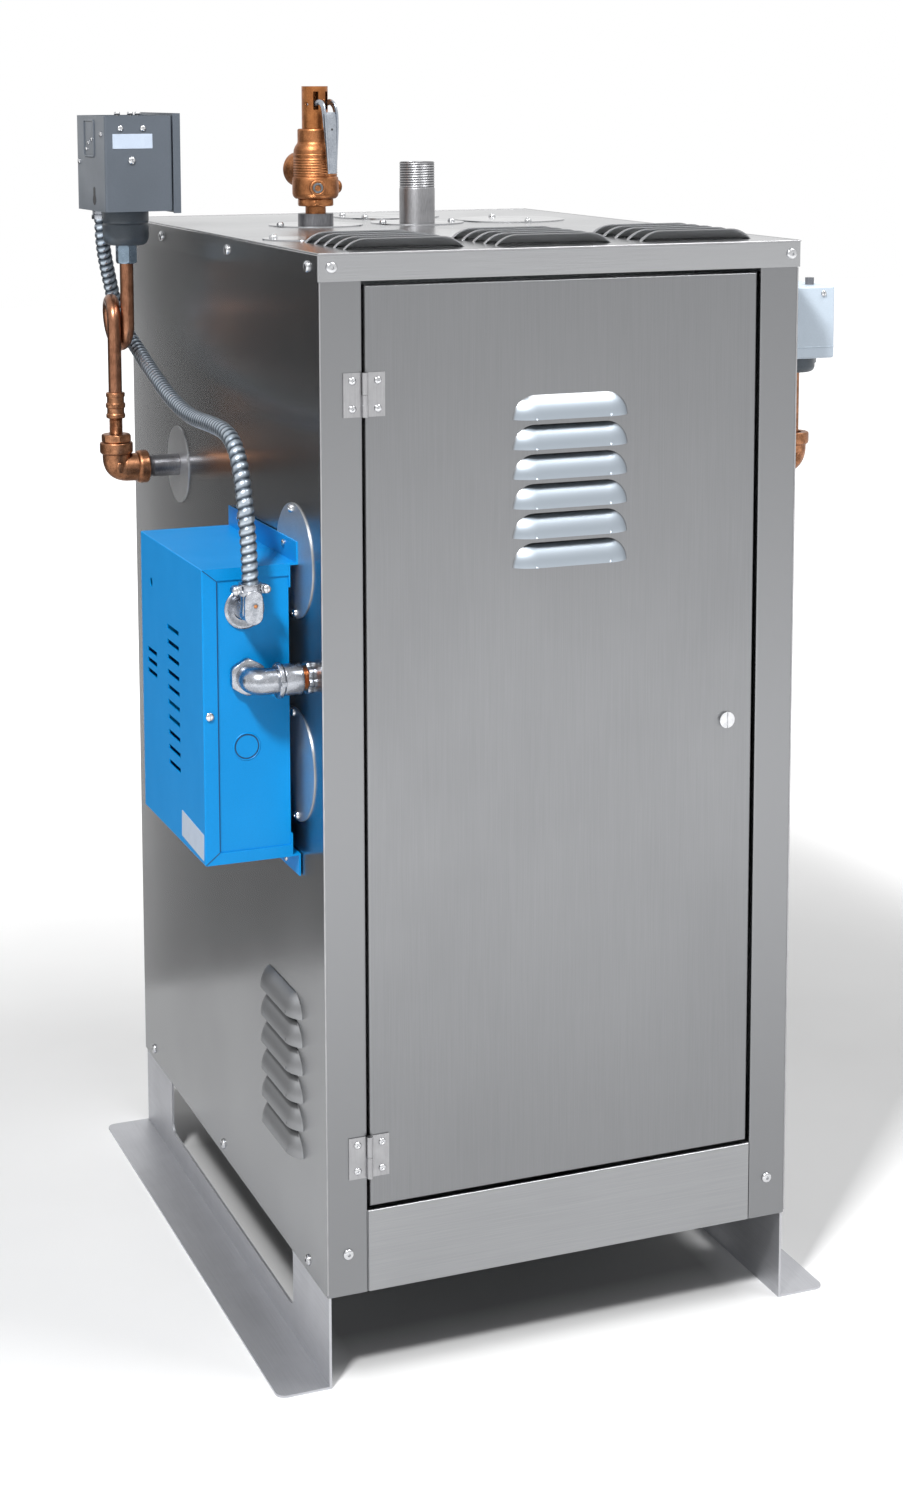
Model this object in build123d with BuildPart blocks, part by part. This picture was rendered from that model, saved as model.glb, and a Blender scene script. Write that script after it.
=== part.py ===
# Upright electric steam boiler in a sheet metal cabinet, millimetres.
# X runs to the right, Y runs from the front door to the back, Z runs up.
# The origin is the centre of the cabinet's outline, on the floor.
from build123d import *
from math import asin, cos, pi, radians, sin, sqrt, tan
import os

os.makedirs("parts", exist_ok=True)

# Driving sizes of the cabinet
CABINET_WIDTH = 610.0
CABINET_DEPTH = 838.0
CABINET_TOP = 1346.0
FOOT_CLEARANCE = 114.3
SHEET = 2.0
SEAT_GAP = 0.3
RUNNING_GAP = 0.05
BEND_RADIUS = 3.0

HALF_WIDTH = CABINET_WIDTH / 2
HALF_DEPTH = CABINET_DEPTH / 2
FRONT = -HALF_DEPTH

# Lid
LID_FLANGE = 32.0
LID_UNDERSIDE = CABINET_TOP - SHEET
LID_HALF_WIDTH = HALF_WIDTH + SEAT_GAP + SHEET
LID_HALF_DEPTH = HALF_DEPTH + SEAT_GAP + SHEET
PANEL_TOP = LID_UNDERSIDE

# Feet
FOOT_SHEET = 3.0
FOOT_FLANGE = 63.5
FOOT_SHELF = 40.0
PANEL_LAP = 20.0
FOOT_TOP = FOOT_CLEARANCE + PANEL_LAP
FORK_WINDOW_SILL = 38.0
FORK_WINDOW_HEAD = FOOT_CLEARANCE + SHEET
FORK_WINDOW_HALF_LENGTH = 280.0
FOOT_CORNER = 12.0
FLOOR_SHEET = 3.0
FLOOR_TOP = FOOT_TOP + FLOOR_SHEET

# Posts, rail and door opening
POST_WIDTH = 50.8
JAMB_DEPTH = 22.0
REAR_RETURN = 25.0
RAIL_HEIGHT = 100.0
RAIL_SEAM = 1.0
DOOR_GAP = 5.0
HINGE_SIDE_GAP = 3.0
DOOR_DEPTH = 19.0
OPENING_HALF_WIDTH = HALF_WIDTH - POST_WIDTH
RAIL_TOP = FOOT_CLEARANCE + RAIL_HEIGHT
DOOR_LEFT = -OPENING_HALF_WIDTH + HINGE_SIDE_GAP
DOOR_RIGHT = OPENING_HALF_WIDTH - DOOR_GAP
DOOR_BOTTOM = RAIL_TOP + DOOR_GAP
DOOR_TOP = CABINET_TOP - LID_FLANGE - DOOR_GAP

# Louvers pressed from the sheet, with one open edge
LOUVER_LENGTH = 148.0
LOUVER_DROP = 28.0
LOUVER_RISE = 13.0
LOUVER_SHEET = 1.2
LOUVER_PITCH = 34.9
DOOR_LOUVER_COUNT = 6
DOOR_LOUVER_X = 4.0
DOOR_LOUVER_BOTTOM = 972.0
SIDE_LOUVER_COUNT = 6
SIDE_LOUVER_Y = -258.0
SIDE_LOUVER_BOTTOM = 250.0
LID_LOUVER_COLUMNS = 3
LID_LOUVER_ROWS = 5
LID_LOUVER_COLUMN_PITCH = 188.0
LID_LOUVER_X = 4.0
LID_LOUVER_FRONT = -370.0

# Butt hinges of the door
HINGE_HEIGHT = 50.8
HINGE_LEAF = 1.5
HINGE_BARREL_RADIUS = 3.8
HINGE_PIN_RADIUS = 2.0
HINGE_LEAF_WIDTH = 21.0
HINGE_CENTRES = (1185.0, 282.0)
HINGE_X = -OPENING_HALF_WIDTH + HINGE_SIDE_GAP / 2
HINGE_Y = FRONT - HINGE_BARREL_RADIUS
KNUCKLE_GAP = 0.3

# Quarter turn latch
LATCH_EDGE_DISTANCE = 35.2
LATCH_X = DOOR_RIGHT - LATCH_EDGE_DISTANCE
LATCH_Z = 763.0
LATCH_HEAD_RADIUS = 10.0
LATCH_HEAD_HEIGHT = 3.5
LATCH_SLOT_WIDTH = 2.2
LATCH_SLOT_DEPTH = 1.6
LATCH_SHAFT_RADIUS = 7.0
LATCH_CAM_WIDTH = 16.0
LATCH_CAM_THICKNESS = 3.0
LATCH_CAM_REACH = 49.0
LATCH_CLEARANCE = 5.0

# Pressure vessel and the wall in front of it
VESSEL_X = 18.5
VESSEL_Y = 120.0
VESSEL_RADIUS = 210.0
VESSEL_WALL = 8.0
VESSEL_BOTTOM = 200.0
VESSEL_TOP = 1240.0
HEAD_THICKNESS = 12.0
SKIRT_WALL = 5.0
BULKHEAD_Y = -150.0
CONTACTOR_COUNT = 4
CONTACTOR_WIDTH = 60.0
CONTACTOR_HEIGHT = 85.0
CONTACTOR_DEPTH = 70.0
CONTACTOR_PITCH = 90.0
CONTACTOR_LOW_ROW = 560.0
CONTACTOR_HIGH_ROW = 760.0
RAIL_BAR_HEIGHT = 35.0
RAIL_BAR_DEPTH = 8.0

# Pipes through the lid
PORT_PITCH = 145.5
VALVE_X = VESSEL_X - PORT_PITCH
OUTLET_RADIUS = 24.15
OUTLET_BORE = 20.45
OUTLET_TOP = 1429.0
OUTLET_THREAD_RADIUS = 23.8
OUTLET_THREAD_LENGTH = 35.0
PIPE_HOLE_GAP = 4.0
COUPLING_RADIUS = 23.8
COUPLING_TOP = 1362.0
ESCUTCHEON_RADIUS = 63.5
ESCUTCHEON_SHEET = 1.5
BLANK_RADIUS = 76.0
BLANK_HOLE_RADIUS = 55.0
RIGHT_BLANK_Y = 140.0
BACK_BLANK_X = 35.0
BACK_BLANK_Y = 288.0
SMALL_BLANK_X = -248.0
SMALL_BLANK_Y = -160.0
SMALL_BLANK_RADIUS = 40.0

# Safety valve
VALVE_NIPPLE_RADIUS = 13.7
VALVE_HEX_FLATS = 46.0
VALVE_HEX_BOTTOM = COUPLING_TOP + 10.0
VALVE_HEX_TOP = VALVE_HEX_BOTTOM + 10.0
VALVE_BODY_RADIUS = 31.0
VALVE_BODY_TOP = VALVE_HEX_TOP + 29.0
VALVE_BONNET_RADIUS = 29.5
VALVE_SHOULDER = VALVE_BODY_TOP + 37.0
VALVE_NECK_RADIUS = 23.5
VALVE_NECK_BOTTOM = VALVE_SHOULDER + 11.0
VALVE_NECK_TOP = VALVE_NECK_BOTTOM + 16.0
VALVE_CAP_RADIUS = 17.5
VALVE_CAP_BORE = 12.0
VALVE_CAP_TOP = VALVE_NECK_TOP + 56.0
VALVE_CAP_ROOF = 5.0
VALVE_PORT_RADIUS = 23.0
VALVE_PORT_BORE = 17.0
VALVE_PORT_REACH = 44.0
VALVE_PORT_Z = VALVE_BODY_TOP + 9.0
VALVE_BOSS_RADIUS = 8.0
VALVE_BOSS_REACH = 40.0
VALVE_BOSS_Z = VALVE_HEX_TOP + 15.0
VALVE_THREAD_LENGTH = 17.0

# Try lever of the safety valve, in a plane turned a little from straight forward
LEVER_ACROSS = (0.96, 0.28, 0.0)
LEVER_OUTWARD = (0.28, -0.96, 0.0)
LEVER_PIVOT_OUT = 5.0
LEVER_PIVOT_Z = VALVE_CAP_TOP - 24.0
LEVER_PIN_RADIUS = 2.5
LEVER_CHEEK = 3.0
LEVER_CHEEK_OFFSET = 8.5
LEVER_CHEEK_HEIGHT = 8.0
LEVER_REACH = 40.0
LEVER_PLATE = 3.0
LEVER_CROWN_START = 30.0
LEVER_TIP_Z = LEVER_PIVOT_Z - 93.0
LEVER_PIN_HALF = 16.0
LEVER_SLOT_GAP = 1.5
LEVER_SLOT_BOTTOM = LEVER_PIVOT_Z - 7.0
LEVER_SLOT_TOP = LEVER_PIVOT_Z + 17.0

# Side piping and the pressure control on the left
SIPHON_Y = 180.0
SIPHON_AXIS_Z = 1024.0
SIPHON_STANDOFF = 86.0
SIPHON_X = -HALF_WIDTH - SIPHON_STANDOFF
STEEL_NIPPLE_RADIUS = 14.6
STEEL_NIPPLE_BORE = 10.5
SIDE_ESCUTCHEON_RADIUS = 52.0
SIDE_HOLE_GAP = 5.0
ELBOW_RADIUS = 18.5
ELBOW_COLLAR_RADIUS = 22.0
ELBOW_COLLAR_BOTTOM = 1046.0
ELBOW_COLLAR_TOP = 1059.0
ELBOW_PORT_REACH = 42.0
ELBOW_PORT_BAND = 12.0
BUSHING_FLATS = 36.0
BUSHING_TOP = 1070.0
ADAPTER_NIPPLE_RADIUS = 9.0
ADAPTER_TOP = 1091.0
ADAPTER_RADIUS = 11.6
ADAPTER_BAND_RADIUS = 13.0
ADAPTER_END = 1126.0
SIPHON_RADIUS = 9.0
SIPHON_PITCH = 18.4
RING_RADIUS = 29.5
RING_Z = 1217.0
RING_CORNERS = 8
CONTROL_X = SIPHON_X + SIPHON_PITCH
NUT_FLATS = 25.0
NUT_BOTTOM = 1298.0
BELLOWS_BOTTOM = 1324.0
BELLOWS_RADIUS = 30.5
CONTROL_BOTTOM = 1369.5
CONTROL_HEIGHT = 124.0
CONTROL_WIDTH = 92.0
CONTROL_DEPTH = 120.0
CONTROL_TURN = 4.0
CONTROL_CENTRE_BACK = -8.0
CONTROL_CENTRE_OUT = -2.0
CONTROL_WALL = 2.0
CONTROL_POCKET = 14.0
COVER_PLATE = 2.0
COVER_PLATE_REACH = 44.0
COVER_PLATE_OFFSET = 10.0
PLATE_LAP = 3.0
FITTING_BAND = 6.0

# Switch box on the left side
BOX_REACH = 118.0
BOX_LEFT = -HALF_WIDTH - BOX_REACH
BOX_STANDOFF = 13.0
BOX_FRONT = -338.0
BOX_BACK = -64.0
BOX_BOTTOM = 630.0
BOX_TOP = 981.0
BOX_SHEET = 1.6
COVER_LIP = 18.0
EAR_HEIGHT = 25.0
EAR_SHEET = 2.0
EAR_TAB = 28.0
BOX_STRIP = 14.0
VENT_SLOT_LENGTH = 52.0
VENT_SLOT_HEIGHT = 6.0
VENT_SLOT_COUNT = 10
VENT_SLOT_PITCH = 18.6
VENT_SLOT_Y = -210.0
VENT_SLOT_TOP = 885.0
SMALL_SLOT_LENGTH = 44.0
SMALL_SLOT_COUNT = 3
SMALL_SLOT_PITCH = 13.5
SMALL_SLOT_Y = -112.0
SMALL_SLOT_TOP = 838.0
COVER_HOLE_RADIUS = 6.0
COVER_HOLE_Y = -112.0
COVER_HOLE_Z = 925.0
DISC_RADIUS = 68.0
DISC_Y = -322.0
DISC_HEIGHTS = (981.0, 737.0)
DISC_SHEET = 1.5

# Conduit and its connectors
CONDUIT_RADIUS = 10.0
CONDUIT_STANDOFF = 70.0
CONDUIT_AXIS_X = -HALF_WIDTH - CONDUIT_STANDOFF
CONDUIT_AXIS_Y = -371.0
CONNECTOR_Z = 934.0
CONNECTOR_FLANGE_RADIUS = 24.0
CONNECTOR_FLANGE = 4.0
CONNECTOR_BODY_RADIUS = 13.0
CONNECTOR_TOP = 968.0
CONDUIT_SOCKET = 955.0
CLAMP_HALF_WIDTH = 19.0
CLAMP_HALF_DEPTH = 5.0
CLAMP_HEIGHT = 10.0
START_CONNECTOR_X = SIPHON_X - 5.0
START_CONNECTOR_Y = 218.0
START_CONNECTOR_RADIUS = 13.0
START_CONNECTOR_LENGTH = 14.0
START_SOCKET_DEPTH = 10.0
ELBOW_CONNECTOR_Z = 852.0
ELBOW_CONNECTOR_X = CONDUIT_AXIS_X + 5.0
ELBOW_HEX_FLATS = 40.0
ELBOW_HEX_HEIGHT = 10.0
ELBOW_TUBE_RADIUS = 14.0
ELBOW_RING_RADIUS = 21.0
ELBOW_RING_LENGTH = 7.0
ELBOW_BARREL_RADIUS = 18.5
ELBOW_BARREL_STANDOFF = 10.5
ELBOW_BARREL_END = -HALF_WIDTH - ELBOW_BARREL_STANDOFF
ELBOW_THREAD_RADIUS = 15.0
LOCKNUT_RADIUS = 19.0
LOCKNUT_LENGTH = 5.0
ELBOW_BARREL_LENGTH = 23.0
THREAD_INSIDE = 8.0

# Low limit control on the right side
RIGHT_CONTROL_STANDOFF = 16.0
RIGHT_CONTROL_WIDTH = 88.0
RIGHT_CONTROL_INNER = HALF_WIDTH + RIGHT_CONTROL_STANDOFF
RIGHT_CONTROL_OUTER = RIGHT_CONTROL_INNER + RIGHT_CONTROL_WIDTH
RIGHT_CONTROL_FRONT = -330.0
RIGHT_CONTROL_BACK = -220.0
RIGHT_CONTROL_BOTTOM = 1190.0
RIGHT_CONTROL_TOP = 1281.0
RIGHT_BELLOWS_X = RIGHT_CONTROL_INNER + 45.0
RIGHT_BELLOWS_Y = -300.0
RIGHT_BELLOWS_RADIUS = 28.0
RIGHT_BELLOWS_BOTTOM = 1172.0
RIGHT_AXIS_Z = 1060.0
BUTTON_X = RIGHT_BELLOWS_X + 23.0
BUTTON_Y = -300.0
BUTTON_RADIUS = 5.6
BUTTON_HEIGHT = 9.0
BUTTON_DEPTH = 8.0
BUTTON_BORE_DEPTH = 12.0
NIPPLE_INSIDE = 30.0
INNER_LOCKNUT_FLATS = 42.0
INNER_LOCKNUT_LENGTH = 8.0


LOW = (Align.MIN, Align.MIN, Align.MIN)
STANDING = (Align.CENTER, Align.CENTER, Align.MIN)


def block(x, y, z, mode=Mode.ADD):
    """Box between two corners, each given as a pair of limits."""
    corner = (min(x), min(y), min(z))
    with Locations(corner):
        Box(abs(x[1] - x[0]), abs(y[1] - y[0]), abs(z[1] - z[0]), align=LOW, mode=mode)


def rod(plane, radius, length, mode=Mode.ADD):
    """Round bar that stands on a plane."""
    with Locations(plane):
        Cylinder(radius, length, align=STANDING, mode=mode)


def hexagon(plane, flats, length):
    """Six sided bar that stands on a plane."""
    with BuildSketch(plane) as outline:
        RegularPolygon(flats / 2, 6, major_radius=False)
    extrude(outline.sketch, length)


def up(x, y, z):
    """Plane that faces up at a point."""
    return Plane(origin=(x, y, z), x_dir=(1, 0, 0), z_dir=(0, 0, 1))


def facing(x, y, z, direction):
    """Upright plane at a point, with its normal along a level direction."""
    return Plane(origin=(x, y, z), x_dir=(0, 0, 1), z_dir=direction)


def both_sides(side, near, far):
    """Limits along X on the left (-1) or the right (1)."""
    return (side * near, side * far)


def louver_dome(length, drop, rise):
    """Half of a flat dome: its open edge lies on X, with the crest above that edge."""
    half_span = length / 2 - drop
    arc_radius = (drop**2 + rise**2) / (2 * rise)
    half_turn = asin(drop / arc_radius) / 2
    arc_middle = (arc_radius * sin(half_turn), rise - arc_radius * (1 - cos(half_turn)))
    with BuildSketch(Plane.YZ) as section:
        with BuildLine():
            Line((0, 0), (drop, 0))
            ThreePointArc((drop, 0), arc_middle, (0, rise))
            Line((0, rise), (0, 0))
        make_face()
    with BuildPart() as dome:
        extrude(section.sketch, half_span, both=True)
        for side in (-1, 1):
            end_section = section.sketch.moved(Location((side * half_span, 0, 0)))
            revolve(end_section, Axis((side * half_span, 0, 0), (0, 0, -side)), 90)
    return dome.part


def louver_hood():
    """Hood of one louver, open along its lower edge."""
    with BuildPart() as hood:
        add(louver_dome(LOUVER_LENGTH, LOUVER_DROP, LOUVER_RISE))
        inner_length = LOUVER_LENGTH - 2 * LOUVER_SHEET
        inner_dome = louver_dome(inner_length, LOUVER_DROP - LOUVER_SHEET, LOUVER_RISE - LOUVER_SHEET)
        add(inner_dome, mode=Mode.SUBTRACT)
    return hood.part


def louver_slot():
    """Hole in the sheet under one hood."""
    slot_drop = LOUVER_DROP - LOUVER_SHEET
    slot_length = LOUVER_LENGTH - 2 * LOUVER_SHEET
    with BuildPart() as slot:
        with BuildSketch():
            SlotOverall(slot_length, 2 * slot_drop)
            Rectangle(slot_length, slot_drop, align=(Align.CENTER, Align.MIN), mode=Mode.INTERSECT)
        extrude(amount=-SHEET)
    return slot.part


HOOD = louver_hood()
SLOT = louver_slot()


def press_louvers(planes):
    """Cut and raise a louver on each plane of the sheet's outer face."""
    for plane in planes:
        add(SLOT.moved(plane.location), mode=Mode.SUBTRACT)
    for plane in planes:
        add(HOOD.moved(plane.location))


# Feet: a web under the side panel, a flange on the floor and a shelf under the floor pan
def foot(side):
    web_outer = HALF_WIDTH - SHEET
    web_inner = web_outer - FOOT_SHEET
    length = (FRONT + SHEET, HALF_DEPTH - 2 * SHEET)
    window_length = (-FORK_WINDOW_HALF_LENGTH, FORK_WINDOW_HALF_LENGTH)
    with BuildPart() as piece:
        block(both_sides(side, web_inner, web_outer), length, (0, FOOT_TOP))
        block(both_sides(side, web_inner, web_outer + FOOT_FLANGE), length, (0, FOOT_SHEET))
        shelf = both_sides(side, web_outer - FOOT_SHELF, web_outer)
        block(shelf, length, (FOOT_TOP - FOOT_SHEET, FOOT_TOP))
        window = both_sides(side, web_inner, web_outer)
        window_height = (FORK_WINDOW_SILL, FORK_WINDOW_HEAD)
        block(window, window_length, window_height, Mode.SUBTRACT)
        window_corners = piece.edges().filter_by(Axis.X)
        sill_corners = window_corners.filter_by_position(Axis.Z, FORK_WINDOW_SILL - 1, FORK_WINDOW_HEAD + 1)
        fillet(sill_corners, FOOT_CORNER)
        upright_edges = piece.edges().filter_by(Axis.Z).sort_by(Axis.X)
        flange_corners = upright_edges[:2] if side < 0 else upright_edges[-2:]
        fillet(flange_corners, FOOT_CORNER)
    return piece


left_foot = foot(-1)
right_foot = foot(1)

# Floor pan on the feet
with BuildPart() as floor_pan:
    floor_width = (-HALF_WIDTH + SHEET, HALF_WIDTH - SHEET)
    block(floor_width, (FRONT + JAMB_DEPTH, HALF_DEPTH - 2 * SHEET), (FOOT_TOP, FLOOR_TOP))


# Side panels: each one is folded round its front corner into a post with a door jamb
def side_panel(side):
    height = (FOOT_CLEARANCE, PANEL_TOP)
    inner_jamb = OPENING_HALF_WIDTH
    with BuildPart() as piece:
        block(both_sides(side, HALF_WIDTH - SHEET, HALF_WIDTH), (FRONT, HALF_DEPTH), height)
        block(both_sides(side, inner_jamb, HALF_WIDTH), (FRONT, FRONT + SHEET), height)
        block(both_sides(side, inner_jamb, inner_jamb + SHEET), (FRONT, FRONT + JAMB_DEPTH), height)
        rear_return = both_sides(side, HALF_WIDTH - REAR_RETURN, HALF_WIDTH)
        block(rear_return, (HALF_DEPTH - SHEET, HALF_DEPTH), height)
        upright_edges = piece.edges().filter_by(Axis.Z)
        front_bends = upright_edges.filter_by_position(Axis.Y, FRONT - SHEET / 2, FRONT + SHEET / 2)
        fillet(front_bends, BEND_RADIUS)
        rear_edges = piece.edges().filter_by(Axis.Z).sort_by(Axis.Y)[-2:].sort_by(Axis.X)
        fillet(rear_edges[0] if side < 0 else rear_edges[-1], BEND_RADIUS)
        louver_planes = []
        for row in range(SIDE_LOUVER_COUNT):
            edge_height = SIDE_LOUVER_BOTTOM + row * LOUVER_PITCH
            origin = (side * HALF_WIDTH, SIDE_LOUVER_Y, edge_height)
            louver_planes.append(Plane(origin=origin, x_dir=(0, side, 0), z_dir=(side, 0, 0)))
        press_louvers(louver_planes)
        if side < 0:
            nipple_hole = facing(-HALF_WIDTH, SIPHON_Y, SIPHON_AXIS_Z, (1, 0, 0))
            rod(nipple_hole, STEEL_NIPPLE_RADIUS + SIDE_HOLE_GAP, SHEET, Mode.SUBTRACT)
            conduit_hole = facing(-HALF_WIDTH, CONDUIT_AXIS_Y, ELBOW_CONNECTOR_Z, (1, 0, 0))
            rod(conduit_hole, ELBOW_THREAD_RADIUS + RUNNING_GAP, SHEET, Mode.SUBTRACT)
        else:
            nipple_hole = facing(HALF_WIDTH, RIGHT_BELLOWS_Y, RIGHT_AXIS_Z, (-1, 0, 0))
            rod(nipple_hole, STEEL_NIPPLE_RADIUS + RUNNING_GAP, SHEET, Mode.SUBTRACT)
    return piece


left_side_panel = side_panel(-1)
right_side_panel = side_panel(1)

# Back panel, inside the rear returns of the side panels
with BuildPart() as back_panel:
    back_width = (-HALF_WIDTH + SHEET, HALF_WIDTH - SHEET)
    block(back_width, (HALF_DEPTH - 2 * SHEET, HALF_DEPTH - SHEET), (FOOT_CLEARANCE, PANEL_TOP))

# Rail under the door, between the jambs
with BuildPart() as bottom_rail:
    rail_half = OPENING_HALF_WIDTH - RAIL_SEAM
    rail_width = (-rail_half, rail_half)
    block(rail_width, (FRONT, FRONT + SHEET), (FOOT_CLEARANCE, RAIL_TOP))
    block(rail_width, (FRONT, FRONT + JAMB_DEPTH), (RAIL_TOP - SHEET, RAIL_TOP))
    level_edges = bottom_rail.edges().filter_by(Axis.X)
    front_edges = level_edges.filter_by_position(Axis.Y, FRONT - SHEET / 2, FRONT + SHEET / 2)
    fillet(front_edges.sort_by(Axis.Z)[-1], BEND_RADIUS)
    block(rail_width, (FRONT, FRONT + JAMB_DEPTH), (FOOT_CLEARANCE, FOOT_CLEARANCE + SHEET))
    for side in (-1, 1):
        tab = both_sides(side, rail_half - SHEET, OPENING_HALF_WIDTH)
        block(tab, (FRONT + SHEET, FRONT + JAMB_DEPTH), (FOOT_CLEARANCE, RAIL_TOP))

# Lid: a pan over the panels, with louvers along its front and holes for the pipes
LID_HOLES = (
    (VALVE_X, VESSEL_Y, COUPLING_RADIUS + PIPE_HOLE_GAP),
    (VESSEL_X, VESSEL_Y, OUTLET_RADIUS + PIPE_HOLE_GAP),
    (VESSEL_X + PORT_PITCH, RIGHT_BLANK_Y, BLANK_HOLE_RADIUS),
    (BACK_BLANK_X, BACK_BLANK_Y, BLANK_HOLE_RADIUS),
)
with BuildPart() as lid:
    lid_width = (-LID_HALF_WIDTH, LID_HALF_WIDTH)
    lid_depth = (-LID_HALF_DEPTH, LID_HALF_DEPTH)
    block(lid_width, lid_depth, (CABINET_TOP - LID_FLANGE, CABINET_TOP))
    fillet(lid.edges().filter_by(Axis.Z), BEND_RADIUS)
    fillet(lid.faces().sort_by(Axis.Z)[-1].edges(), BEND_RADIUS - SEAT_GAP)
    hollow_width = (-LID_HALF_WIDTH + SHEET, LID_HALF_WIDTH - SHEET)
    hollow_depth = (-LID_HALF_DEPTH + SHEET, LID_HALF_DEPTH - SHEET)
    block(hollow_width, hollow_depth, (CABINET_TOP - LID_FLANGE, LID_UNDERSIDE), Mode.SUBTRACT)
    for hole_x, hole_y, hole_radius in LID_HOLES:
        rod(up(hole_x, hole_y, LID_UNDERSIDE), hole_radius, SHEET, Mode.SUBTRACT)
    lid_louver_planes = []
    for column in range(LID_LOUVER_COLUMNS):
        for row in range(LID_LOUVER_ROWS):
            louver_x = LID_LOUVER_X + (column - (LID_LOUVER_COLUMNS - 1) / 2) * LID_LOUVER_COLUMN_PITCH
            louver_y = LID_LOUVER_FRONT + row * LOUVER_PITCH
            lid_louver_planes.append(up(louver_x, louver_y, CABINET_TOP))
    press_louvers(lid_louver_planes)

# Door: a folded pan with louvers in its upper half and a hole for the latch
with BuildPart() as door:
    door_width = (DOOR_LEFT, DOOR_RIGHT)
    door_height = (DOOR_BOTTOM, DOOR_TOP)
    block(door_width, (FRONT, FRONT + DOOR_DEPTH), door_height)
    fillet(door.faces().sort_by(Axis.Y)[0].edges(), BEND_RADIUS)
    door_inner_width = (DOOR_LEFT + SHEET, DOOR_RIGHT - SHEET)
    door_inner_height = (DOOR_BOTTOM + SHEET, DOOR_TOP - SHEET)
    block(door_inner_width, (FRONT + SHEET, FRONT + DOOR_DEPTH), door_inner_height, Mode.SUBTRACT)
    latch_hole = facing(LATCH_X, FRONT, LATCH_Z, (0, 1, 0))
    rod(latch_hole, LATCH_SHAFT_RADIUS + RUNNING_GAP, SHEET, Mode.SUBTRACT)
    door_louver_planes = []
    for row in range(DOOR_LOUVER_COUNT):
        origin = (DOOR_LOUVER_X, FRONT, DOOR_LOUVER_BOTTOM + row * LOUVER_PITCH)
        door_louver_planes.append(Plane(origin=origin, x_dir=(1, 0, 0), z_dir=(0, -1, 0)))
    press_louvers(door_louver_planes)

# Latch: slotted head, shaft and a cam that turns behind the right jamb
CAM_FRONT = FRONT + JAMB_DEPTH + LATCH_CLEARANCE
with BuildPart() as door_latch:
    head_plane = facing(LATCH_X, FRONT - LATCH_HEAD_HEIGHT, LATCH_Z, (0, 1, 0))
    rod(head_plane, LATCH_HEAD_RADIUS, LATCH_HEAD_HEIGHT)
    shaft_plane = facing(LATCH_X, FRONT, LATCH_Z, (0, 1, 0))
    rod(shaft_plane, LATCH_SHAFT_RADIUS, CAM_FRONT + LATCH_CAM_THICKNESS - FRONT)
    cam_half_width = LATCH_CAM_WIDTH / 2
    cam_width = (LATCH_X - cam_half_width, LATCH_X + cam_half_width)
    cam_depth = (CAM_FRONT, CAM_FRONT + LATCH_CAM_THICKNESS)
    block(cam_width, cam_depth, (LATCH_Z - cam_half_width, LATCH_Z + LATCH_CAM_REACH))
    slot_height = (LATCH_Z - LATCH_HEAD_RADIUS, LATCH_Z + LATCH_HEAD_RADIUS)
    slot_width = (LATCH_X - LATCH_SLOT_WIDTH / 2, LATCH_X + LATCH_SLOT_WIDTH / 2)
    slot_depth = (FRONT - LATCH_HEAD_HEIGHT, FRONT - LATCH_HEAD_HEIGHT + LATCH_SLOT_DEPTH)
    block(slot_width, slot_depth, slot_height, Mode.SUBTRACT)


# Butt hinges with two knuckles: the lower one carries the pin, the upper one turns on it
def hinge_leaf(side, centre):
    """One leaf with its knuckle: side -1 on the post, 1 on the door."""
    half_height = HINGE_HEIGHT / 2
    leaf_depth = (FRONT - HINGE_LEAF, FRONT)
    clear_of_barrel = HINGE_BARREL_RADIUS + SEAT_GAP
    outer = HINGE_X + side * (clear_of_barrel + HINGE_LEAF_WIDTH)
    block((HINGE_X + side * clear_of_barrel, outer), leaf_depth, (centre - half_height, centre + half_height))
    knuckle = (centre + KNUCKLE_GAP / 2, centre + half_height)
    if side < 0:
        knuckle = (centre - half_height, centre - KNUCKLE_GAP / 2)
    block((HINGE_X, HINGE_X + side * clear_of_barrel), leaf_depth, knuckle)
    rod(up(HINGE_X, HINGE_Y, knuckle[0]), HINGE_BARREL_RADIUS, knuckle[1] - knuckle[0])


with BuildPart() as hinge_post_leaves:
    for centre in HINGE_CENTRES:
        hinge_leaf(-1, centre)
        rod(up(HINGE_X, HINGE_Y, centre - HINGE_HEIGHT / 2), HINGE_PIN_RADIUS, HINGE_HEIGHT)

with BuildPart() as hinge_door_leaves:
    for centre in HINGE_CENTRES:
        hinge_leaf(1, centre)
        bore_plane = up(HINGE_X, HINGE_Y, centre - HINGE_HEIGHT / 2)
        rod(bore_plane, HINGE_PIN_RADIUS + RUNNING_GAP, HINGE_HEIGHT, Mode.SUBTRACT)

# Wall between the electrical compartment and the vessel, with contactors on two rails
with BuildPart() as inner_wall:
    wall_width = (-HALF_WIDTH + SHEET, HALF_WIDTH - SHEET)
    block(wall_width, (BULKHEAD_Y, BULKHEAD_Y + SHEET), (FLOOR_TOP, PANEL_TOP))

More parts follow.
